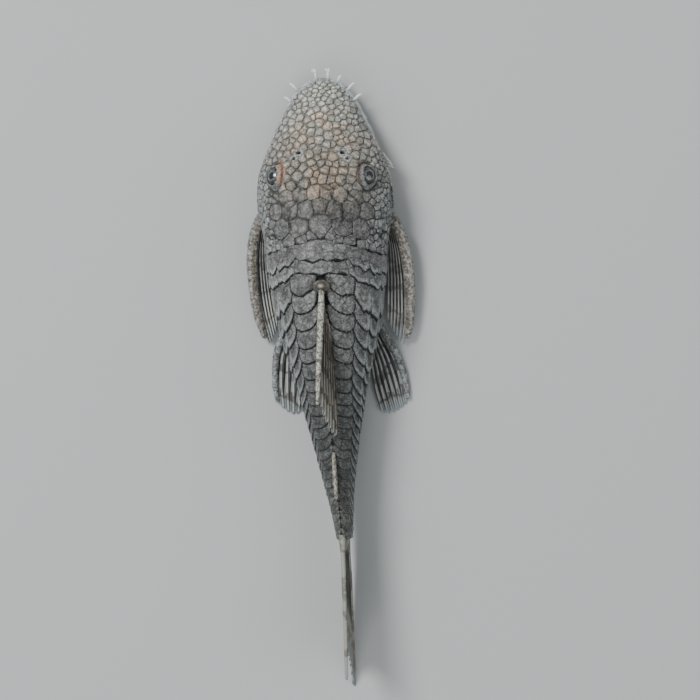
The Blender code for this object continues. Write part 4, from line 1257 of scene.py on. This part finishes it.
def ray_fin(name, first_ray, last_ray, rays, tips, pleat, thickness, swing=1):
    """A fan of rays from a first to a last, each a ridge that forks, with pleated skin between them."""
    across = np.linspace(0, 1, rays * FIN_COLUMNS_TO_A_RAY + 1)[None, :]
    phase = ray_phase(across, rays)
    tip_shares = smooth_curve(np.linspace(0, 1, len(tips)), tips)(across)
    notch = 1 - 0.035 * (1 - np.cos(phase * math.tau)) * 0.5
    along = np.linspace(0, 1, FIN_LENGTHS)[:, None] * tip_shares * notch
    fork = 0.22 * ease((along - 0.5) / 0.45)
    ridge = bump(np.abs(phase), fork, 0.23 - 0.08 * along)
    places = along * (len(first_ray) - 1)
    i = np.minimum(places.astype(int), len(first_ray) - 2)
    part = (places - i)[..., None]
    lead = first_ray[i] * (1 - part) + first_ray[i + 1] * part
    trail = last_ray[i] * (1 - part) + last_ray[i + 1] * part
    sheet = lead * (1 - across[..., None]) + trail * across[..., None]
    normals = unit(np.cross(np.gradient(sheet, axis=1), np.gradient(sheet, axis=0))) * swing
    sheet = sheet + normals * (pleat * np.cos(phase * math.tau) * ease(along / 0.25))[..., None]
    half = 0.035 + thickness * ridge * (1.0 - 0.55 * along)
    half = half * ease((1.02 - along / tip_shares) / 0.12) + 0.02
    upper, lower = sheet + normals * half[..., None], sheet - normals * half[..., None]
    upper[..., 2] = np.maximum(upper[..., 2], FLOOR_GAP + 0.03)
    lower[..., 2] = np.maximum(lower[..., 2], FLOOR_GAP)
    return make_sheet(name, upper, lower, {"ray": ridge, "share": along}, swing > 0)


# Colours of each fin's rays and of their bands
RAY_COLOURS = {
    "pectoral": ((0.47, 0.47, 0.44), (0.25, 0.245, 0.22)),
    "pelvic": ((0.34, 0.35, 0.33), (0.13, 0.13, 0.12)),
    "dorsal": ((0.33, 0.31, 0.265), (0.12, 0.108, 0.088)),
    "tail": ((0.29, 0.285, 0.25), (0.155, 0.15, 0.13)),
}
# Colours of the skin between the rays, of its paler clouds and of the fin's edge
FIN_SKIN_COLOURS = {
    "pectoral": ((0.018, 0.020, 0.020), (0.050, 0.055, 0.054), (0.34, 0.39, 0.41)),
    "pelvic": ((0.013, 0.014, 0.014), (0.040, 0.044, 0.044), (0.31, 0.36, 0.375)),
    "dorsal": ((0.022, 0.020, 0.016), (0.050, 0.046, 0.038), (0.20, 0.215, 0.21)),
    "tail": ((0.028, 0.029, 0.026), (0.070, 0.072, 0.064), (0.24, 0.27, 0.28)),
}
FIN_GLOSS = {"roughness": 0.45, "coat_weight": 0.15, "coat_roughness": 0.3, "specular_ior_level": 0.25}
BANDS_ALONG_RAYS, BAND_WANDER = 26.0, 11.0
fin_materials = {}
for name, (ray_pale, ray_band) in RAY_COLOURS.items():
    skin_dark, skin_cloud, tip = FIN_SKIN_COLOURS[name]
    fin_materials[name], shader, shade = new_material(f"{name}_rays_and_skin", **FIN_GLOSS)
    share, ray = shade.attribute("share"), shade.attribute("ray")
    blotch, fine_grain = shade.noise(0.45, 2.0), shade.noise(4.5, 3.0)
    wave = shade.maths("SINE", share * BANDS_ALONG_RAYS + blotch * BAND_WANDER)
    membrane = shade.mix(skin_dark, skin_cloud, blotch.between(0.42, 0.60))
    ray_colour = shade.mix(ray_pale, ray_band, wave.between(0.2, 1.0))
    colour = shade.painted(
        shade.mix(membrane, tuple(part * 0.55 for part in tip), share.between(0.80, 1.0) * 0.7),
        (shade.mix(ray_colour, tip, share.between(0.84, 1.0) * 0.8), ray.between(0.25, 0.6)),
        (skin_cloud, fine_grain.between(0.56, 0.70) * 0.45),
    )
    feed(shader, shade, base_color=colour, normal=bumped(shade, fine_grain, 0.06))

# Pale and dark colour of each finish, and where its noise turns from the one to the other
SPINE_FINISHES = {
    "rough_spines": ((0.255, 0.25, 0.225), (0.10, 0.09, 0.074), 0.44, 0.62),
    "flecked_spine": ((0.42, 0.405, 0.34), (0.13, 0.112, 0.085), 0.52, 0.60),
    "grey_spines": ((0.215, 0.232, 0.236), (0.085, 0.088, 0.086), 0.48, 0.62),
    "spine_joint": ((0.062, 0.052, 0.040), (0.026, 0.022, 0.017), 0.44, 0.60),
    "tan_spine": ((0.28, 0.262, 0.218), (0.10, 0.086, 0.065), 0.48, 0.62),
}
SPINE_GLOSS = {"roughness": 0.5, "coat_weight": 0.1, "coat_roughness": 0.3}
BALL_COLOUR, STRIPE_COLOUR, GRIT_COLOUR = (0.40, 0.385, 0.33), (0.125, 0.097, 0.066), (0.045, 0.043, 0.038)
spine_materials = {}
for name, (pale, dark, low, high) in SPINE_FINISHES.items():
    spine_materials[name], shader, shade = new_material(name, **SPINE_GLOSS)
    grit, fleck = shade.noise(2.2, 3.0), shade.noise(1.0, 3.0)
    inner, brown = shade.attribute("inner"), shade.noise(0.5, 2.0).between(0.28, 0.5)
    colour = shade.painted(
        pale,
        (dark, fleck.between(low, high)),
        (BALL_COLOUR, shade.attribute("ball")),
        # A brown stripe runs along the inner side of the pectoral spines, which alone have this attribute.
        (STRIPE_COLOUR, inner.between(0.75, 1.1) * inner.between(1.82, 1.5) * brown * 0.9),
        (tuple(min(2.0 * part, 0.6) for part in pale), grit.between(0.53, 0.66) * 0.6),
        (GRIT_COLOUR, grit.between(0.48, 0.37) * 0.8),
    )
    feed(shader, shade, base_color=colour, normal=bumped(shade, grit, 0.16))

rough_pieces = []
for kind, spine, radii, inner_ray, spreads, pivot, tip_length in PAIRED_FINS:
    for (side, name), spread in zip(SIDES, spreads):
        outer_path = path_through(spread_out(spine, pivot, side, spread), SPINE_STEPS)
        inner_path = path_through(spread_out(inner_ray, pivot, side, spread * 0.5), SPINE_STEPS)
        around = np.tile(-np.cos(turn_steps(SPINE_SIDES)) * side, SPINE_STEPS)
        layers = {"inner": 1 + np.append(around, [0.0, 0.0])} if kind == "pectoral" else {}
        spine_rod = rod(outer_path, radii, SPINE_SIDES, 0.85)
        piece = make_rods(f"{kind}_spine_{name}_skin", [spine_rod], layers, with_bake=True)
        finish = "rough_spines" if kind == "pectoral" else "grey_spines"
        dress(piece, spine_materials[finish], "spine", f"{kind}_spine_{name}")
        rough_pieces.append(piece)

        # The first ray lies along the inner side of the spine and runs a little past its tip.
        ahead = unit(np.gradient(outer_path, axis=0))
        inwards = np.stack([-side * ahead[:, 1], side * ahead[:, 0], np.zeros(SPINE_STEPS)], axis=-1)
        beside = outer_path + inwards * evenly(radii, SPINE_STEPS)[:, None] * 0.7
        beyond = beside[-1] + unit(beside[-1] - beside[-6]) * tip_length
        beside = path_through(np.concatenate([beside[5:], [beyond]]), SPINE_STEPS)
        beside[:, 2] = np.maximum(beside[:, 2] - 0.2, 0.3)
        rays = PAIRED_FIN_RAYS[f"{kind}_{name}"]
        fan = (beside, inner_path, rays, PAIRED_FIN_TIPS, 0.16, 0.19)
        piece = ray_fin(f"{kind}_rays_{name}", *fan, swing=side)
        dress(piece, fin_materials[kind], "fin", f"{kind}_fin_{name}")

# The fin on the back is folded down behind its spine and leans to the fish's right. The spine stands in a
# swollen joint, and the rays lie in pleats on the back.

# Distance, aside and level along the spine, its radii, the first ray and the last
DORSAL_SPINE = (
    *((38.2, 0.0, 15.9), (39.6, 0.0, 16.35), (44.0, 0.3, 16.6)),
    *((51.0, 0.9, 17.0), (58.4, 1.6, 17.2)),
)
DORSAL_SPINE_RADII = (0.42, 0.56, 0.54, 0.49, 0.45, 0.38, 0.24)
DORSAL_FIRST_RAY = ((39.6, -0.05, 16.1), (44.0, 0.15, 16.35), (51.0, 0.65, 16.7), (58.6, 1.3, 16.9))
DORSAL_LAST_RAY = ((45.0, -1.0, 14.9), (52.5, -1.5, 14.5), (59.5, -1.3, 13.9), (65.8, -0.7, 13.1))
DORSAL_JOINT = (37.8, 0.0, 15.75)
DORSAL_JOINT_RADII = (1.45, 1.2, 0.8)
JOINT_ROWS, JOINT_SIDES = 18, 24


def in_fish(points):
    """(distance, aside, level) points in the fish's own frame."""
    distance, aside, level = np.array(points, float).T
    return np.stack([midline(distance) + aside, distance, level], axis=-1)


def path_in_fish(points, count):
    """A smooth path through (distance, aside, level) points."""
    return path_through(in_fish(points), count)


dorsal_path = path_in_fish(DORSAL_SPINE, SPINE_STEPS)
piece = make_rods("dorsal_spine_skin", [rod(dorsal_path, DORSAL_SPINE_RADII, 24, 0.9)], with_bake=True)
dress(piece, spine_materials["flecked_spine"], "spine", "dorsal_spine")
rough_pieces.append(piece)
fan = (path_in_fish(DORSAL_FIRST_RAY, SPINE_STEPS), path_in_fish(DORSAL_LAST_RAY, SPINE_STEPS), 6)
piece = ray_fin("dorsal_rays", *fan, (0.95, 1.0, 1.0, 0.98, 0.93), 0.22, 0.18)
dress(piece, fin_materials["dorsal"], "fin", "dorsal_fin")

# The joint is a lobed knob with a pale ball in a hollow on its top.
joint_middle = in_fish([DORSAL_JOINT])[0]
polar = np.linspace(0.06, math.pi - 0.08, JOINT_ROWS)[:, None]
turn = turn_steps(JOINT_SIDES)
lobes = 1 + 0.16 * np.cos(2 * turn) ** 2 - 0.10 * np.cos(6 * turn)
level = np.cos(polar) + 0.45 * bump(polar, 0.0, 0.42) - 0.25 * bump(polar, 0.75, 0.22)
knob = [np.sin(polar) * np.cos(turn) * lobes, np.sin(polar) * np.sin(turn), level * np.ones(JOINT_SIDES)]
knob = joint_middle + np.stack(knob, axis=-1) * np.array(DORSAL_JOINT_RADII)
knob_poles = [joint_middle + (0, 0, 1.16), joint_middle - (0, 0, 0.85)]
knob = np.concatenate([knob.reshape(-1, 3), knob_poles])
marks = {"ball": np.append(np.repeat(bump(polar, 0.0, 0.25), JOINT_SIDES), [1.0, 0.0])}
bake_places = knob[:, :2] * 0.01 + 0.46
piece = make_piece("dorsal_joint", knob, tube_faces(JOINT_ROWS, JOINT_SIDES), marks, bake_places)
dress(piece, spine_materials["spine_joint"], "spine")

# A short spine with a low flap of skin behind it stands before the tail fin, and the small anal fin lies
# folded back under the stalk of the tail.
ADIPOSE_SPINE = ((67.0, 0.0, 11.7), (69.6, 0.02, 12.55), (72.2, 0.06, 13.3), (74.8, 0.1, 13.9))
ADIPOSE_FOOT = ((69.4, 0.0, 11.65), (71.6, 0.0, 11.55), (73.8, 0.0, 11.6), (75.4, 0.05, 12.1))
ANAL_FIRST_RAY = ((57.4, 0.0, 2.2), (60.5, 0.0, 1.3), (64.0, 0.0, 0.75), (67.8, 0.0, 0.5))
ANAL_LAST_RAY = ((61.6, 0.0, 2.6), (63.4, 0.0, 2.3), (65.2, 0.0, 2.1), (67.0, 0.0, 2.0))
adipose_path = path_in_fish(ADIPOSE_SPINE, 24)
piece = make_rods("adipose_spine", [rod(adipose_path, (0.32, 0.36, 0.40, 0.26), 16)], with_bake=True)
dress(piece, spine_materials["tan_spine"], "spine")
rough_pieces.append(piece)
fan = (adipose_path + (0, 0.35, -0.25), path_in_fish(ADIPOSE_FOOT, 24), 2)
piece = ray_fin("adipose_flap", *fan, (0.96, 0.97, 0.98, 0.97, 0.96), 0.02, 0.06)
dress(piece, fin_materials["tail"], "fin", "adipose_fin")
fan = (path_in_fish(ANAL_FIRST_RAY, 30), path_in_fish(ANAL_LAST_RAY, 30), 5)
piece = ray_fin("anal_rays", *fan, (0.96, 1.0, 1.0, 0.98, 0.94), 0.10, 0.16, swing=-1)
dress(piece, fin_materials["pelvic"], "fin", "anal_fin")

# The tail fin is closed like a fan and stands upright. Its lower lobe is the longer, and its outer rays are
# thick and rough.

# Level and distance of the fin's rear edge, then where its root lies
TAIL_LEVELS = (0.0, 3.4, 6.8, 10.2, 13.8)
TAIL_TIPS = (110.0, 105.0, 102.8, 103.6, 107.0)
TAIL_ROOT = 81.4
TAIL_ROOT_LEVELS = (2.4, 11.6)
TAIL_RAYS, TAIL_LENGTHS = 12, 90
tail_edge = smooth_curve(TAIL_LEVELS, TAIL_TIPS)
rise_share = np.linspace(0, 1, TAIL_RAYS * FIN_COLUMNS_TO_A_RAY + 1)[None, :]
tip_level = TAIL_LEVELS[-1] * rise_share
tail_phase = ray_phase(rise_share, TAIL_RAYS)
run = np.linspace(0, 1, TAIL_LENGTHS)[:, None]
notch = 1 - 0.014 * (1 - np.cos(tail_phase * math.tau)) * 0.5
tail_distance = TAIL_ROOT + (tail_edge(tip_level) - TAIL_ROOT) * run * notch
root_level = TAIL_ROOT_LEVELS[0] + (TAIL_ROOT_LEVELS[1] - TAIL_ROOT_LEVELS[0]) * rise_share
tail_level = root_level + (tip_level - root_level) * np.sin(run * math.pi / 2)
fork = 0.24 * ease((run - 0.35) / 0.4)
tail_ridge = bump(np.abs(tail_phase), fork, 0.16 - 0.04 * run)
outer_rays = np.maximum(bump(rise_share, 0.0, 0.045), bump(rise_share, 1.0, 0.045))
tail_ridge = np.maximum(tail_ridge, outer_rays)
thick = 0.05 + 0.13 * tail_ridge * (1 - 0.5 * run) + 0.16 * outer_rays * (1 - 0.6 * run)
thick = thick + 0.9 * (1 - ease(run / 0.2)) * np.sqrt(np.maximum(1 - (2 * rise_share - 1) ** 2, 0.05))
thick = thick * ease((1.03 - run) / 0.06) + 0.02
pleat = 0.15 * np.cos(tail_phase * math.tau) * ease(run / 0.3)
sway = 0.25 * np.sin(rise_share * math.pi) * ease(run / 0.5)
tail_x = midline(tail_distance) + pleat + sway
tail_level = np.maximum(tail_level, FLOOR_GAP)
left_side = np.stack([tail_x + thick, tail_distance, tail_level], axis=-1)
right_side = np.stack([tail_x - thick, tail_distance, tail_level], axis=-1)
tail_fin = make_sheet("tail_fin", left_side, right_side, {"ray": tail_ridge, "share": run}, True)
dress(tail_fin, fin_materials["tail"], "fin", "caudal_fin")

# Every plate, scute and fin spine bristles with tiny bony denticles that point to the tail, which make the
# fish rasp like sandpaper. Each is a short leaning cone planted on its plate.
DENTICLE_SIDES = 4
# Length and radius of each kind, then their backward lean in radians and the spread of their sizes
SMALL_DENTICLE, SCUTE_DENTICLE, SPINE_DENTICLE = (0.16, 0.055), (0.2, 0.055), (0.24, 0.06)
BACKWARD_LEAN = (-0.85, 0.0, 0.0)
LEAST_SIZE, MOST_SIZE = 0.6, 1.25
# Radius of a denticle's patch on its host's OFBake map
PATCH = 0.0015
PER_SQUARE_MM = 1e6


def plant_denticles(name, host, density, shape, seed, slot):
    """Scatters denticles on a piece with Geometry Nodes and makes one plain mesh of them."""
    length, width = shape
    tree = bpy.data.node_groups.new(name + "_planting", "GeometryNodeTree")
    sizes = (("Density", density * PER_SQUARE_MM), ("Length", length * MM), ("Width", width * MM))
    tree.interface.new_socket("Geometry", in_out="INPUT", socket_type="NodeSocketGeometry")
    for label, value in sizes:
        tree.interface.new_socket(label, in_out="INPUT", socket_type="NodeSocketFloat")
    tree.interface.new_socket("Geometry", in_out="OUTPUT", socket_type="NodeSocketGeometry")
    made = {}

    def add(label, kind, settings=None, inputs=None):
        """Adds a node. An input is a value, or the label of an earlier node and its output."""
        node = tree.nodes.new(kind)
        for key, value in (settings or {}).items():
            setattr(node, key, value)
        for key, value in (inputs or {}).items():
            if isinstance(value, tuple) and isinstance(value[0], str):
                tree.links.new(made[value[0]].outputs[value[1]], node.inputs[key])
            else:
                node.inputs[key].default_value = value
        made[label] = node

    def recall(label, attribute):
        settings = {"data_type": "FLOAT_VECTOR"}
        add(label, "GeometryNodeInputNamedAttribute", settings, {"Name": attribute})

    def store(label, attribute, geometry, value, data_type="FLOAT_VECTOR", domain="POINT"):
        settings = {"data_type": data_type, "domain": domain}
        inputs = {"Geometry": geometry, "Name": attribute, "Value": value}
        add(label, "GeometryNodeStoreNamedAttribute", settings, inputs)

    add("sizes", "NodeGroupInput")
    recall("bake", "OFBake")
    inputs = {"Mesh": ("sizes", "Geometry"), "Density": ("sizes", "Density"), "Seed": seed}
    add("scatter", "GeometryNodeDistributePointsOnFaces", {"distribute_method": "RANDOM"}, inputs)
    store("roots", "root", ("scatter", "Points"), ("bake", "Attribute"))
    inputs = {"Vertices": DENTICLE_SIDES, "Radius Top": 0.0}
    inputs.update({"Radius Bottom": ("sizes", "Width"), "Depth": ("sizes", "Length")})
    add("cone", "GeometryNodeMeshCone", {"fill_type": "NGON"}, inputs)
    add("local", "GeometryNodeInputPosition")
    store("marked", "local", ("cone", "Mesh"), ("local", "Position"))
    inputs = {"Rotation": ("scatter", "Rotation"), "Vector": (0.0, 1.0, 0.0)}
    add("backwards", "FunctionNodeAlignRotationToVector", {"axis": "Y", "pivot_axis": "Z"}, inputs)
    inputs = {"Rotation": ("backwards", "Rotation"), "Rotate By": BACKWARD_LEAN}
    add("tilt", "FunctionNodeRotateRotation", {"rotation_space": "LOCAL"}, inputs)
    inputs = {2: LEAST_SIZE, 3: MOST_SIZE, "Seed": seed + 2}
    add("scale", "FunctionNodeRandomValue", {"data_type": "FLOAT"}, inputs)
    inputs = {"Points": ("roots", "Geometry"), "Instance": ("marked", "Geometry")}
    inputs.update({"Rotation": ("tilt", "Rotation"), "Scale": ("scale", 1)})
    add("plant", "GeometryNodeInstanceOnPoints", None, inputs)
    add("real", "GeometryNodeRealizeInstances", None, {"Geometry": ("plant", "Instances")})
    recall("root", "root")
    recall("spot", "local")
    inputs = {0: ("spot", "Attribute"), 1: (PATCH / (width * MM),) * 3, 2: ("root", "Attribute")}
    add("patch", "ShaderNodeVectorMath", {"operation": "MULTIPLY_ADD"}, inputs)
    store("mapped", "OFBake", ("real", "Geometry"), ("patch", "Vector"), "FLOAT2", "CORNER")
    inputs = {"Geometry": ("mapped", "Geometry"), "Material": denticle_material}
    add("finish", "GeometryNodeSetMaterial", None, inputs)
    add("result", "NodeGroupOutput", None, {"Geometry": ("finish", "Geometry")})

    holder = add_object(name + "_holder", host.data.copy())
    modifier = holder.modifiers.new("planting", "NODES")
    modifier.node_group = tree
    identifiers = {item.name: item.identifier for item in tree.interface.items_tree if item.in_out == "INPUT"}
    for label, value in sizes:
        modifier[identifiers[label]] = float(value)
    graph = bpy.context.evaluated_depsgraph_get()
    mesh = bpy.data.meshes.new_from_object(holder.evaluated_get(graph), depsgraph=graph)
    bpy.data.objects.remove(holder)
    mesh.name = name
    dress(add_object(name, mesh), denticle_material, slot)


WORN_COLOUR = (0.40, 0.41, 0.39)
denticle_material, shader, shade = new_material("denticles", roughness=0.5)
worn = shade.noise(1.5, 2.0).between(0.35, 0.7) * 0.32
colour = shade.mix(shade.ramp(PLATE_STOPS, shade.attribute("along")), WORN_COLOUR, worn)
feed(shader, shade, base_color=colour)
plant_denticles("head_denticles", head_plates, 6.0, SMALL_DENTICLE, 5, "skin")
plant_denticles("scute_denticles", scutes, 3.5, SCUTE_DENTICLE, 9, "skin")
for number, host in enumerate(rough_pieces):
    name = host.name.replace("_skin", "") + "_denticles"
    plant_denticles(name, host, 9.0, SPINE_DENTICLE, 20 + number, "spine")

# The studio is a plain pale floor under large soft lights, seen from above with the snout at the top of the
# picture. The camera leans a little towards the fish's right.
FLOOR_SIZE = 3.0
FLOOR_LEVEL = -0.0001
FLOOR_COLOUR = (0.43, 0.44, 0.44)
corners = [(-1, -1), (1, -1), (1, 1), (-1, 1)]
floor_points = [(x * FLOOR_SIZE / 2, y * FLOOR_SIZE / 2, FLOOR_LEVEL) for x, y in corners]
floor_mesh = bpy.data.meshes.new("floor")
floor_mesh.from_pydata(floor_points, [], [(0, 1, 2, 3)])
floor_mesh.materials.append(new_material("pale_floor", base_color=opaque(FLOOR_COLOUR), roughness=0.85)[0])
add_object("floor", floor_mesh)

CAMERA_HEIGHT = 0.42
CAMERA_LEAN = math.radians(5.3)
LENS, SENSOR_WIDTH = 121.0, 36.0
VIEW_CENTRE = (-5.09, 48.93, 5.0)
camera = add_object("camera", bpy.data.cameras.new("camera"))
right, up = Vector((-math.cos(CAMERA_LEAN), 0, -math.sin(CAMERA_LEAN))), Vector((0, -1, 0))
out = right.cross(up)
camera.matrix_world = Matrix((right, up, out)).transposed().to_4x4()
camera.matrix_world.translation = Vector(placed(VIEW_CENTRE)[0]) + out * CAMERA_HEIGHT
camera.data.sensor_width, camera.data.lens = SENSOR_WIDTH, LENS
camera.data.clip_start = 0.01
bpy.context.scene.camera = camera

# Name, size, power and place of each lamp, which all point at the fish
LAMPS = (
    ("key", 0.30, 5.8, (0.36, -0.34, 0.58)),
    ("fill", 0.60, 1.4, (-0.55, 0.05, 0.50)),
    ("back", 0.50, 2.4, (0.25, 0.60, 0.55)),
)
for name, size, power, spot in LAMPS:
    lamp = add_object(name, bpy.data.lights.new(name, "AREA"))
    lamp.data.shape, lamp.data.size, lamp.data.energy = "DISK", size, power
    lamp.location = Vector(spot)
    lamp.rotation_euler = (-Vector(spot)).to_track_quat("-Z", "Y").to_euler()

ROOM_COLOUR, ROOM_LIGHT = (0.92, 0.97, 1.0), 0.42
world = bpy.data.worlds.new("soft_room")
world.use_nodes = True
background = world.node_tree.nodes["Background"]
background.inputs["Color"].default_value = opaque(ROOM_COLOUR)
background.inputs["Strength"].default_value = ROOM_LIGHT
bpy.context.scene.world = world
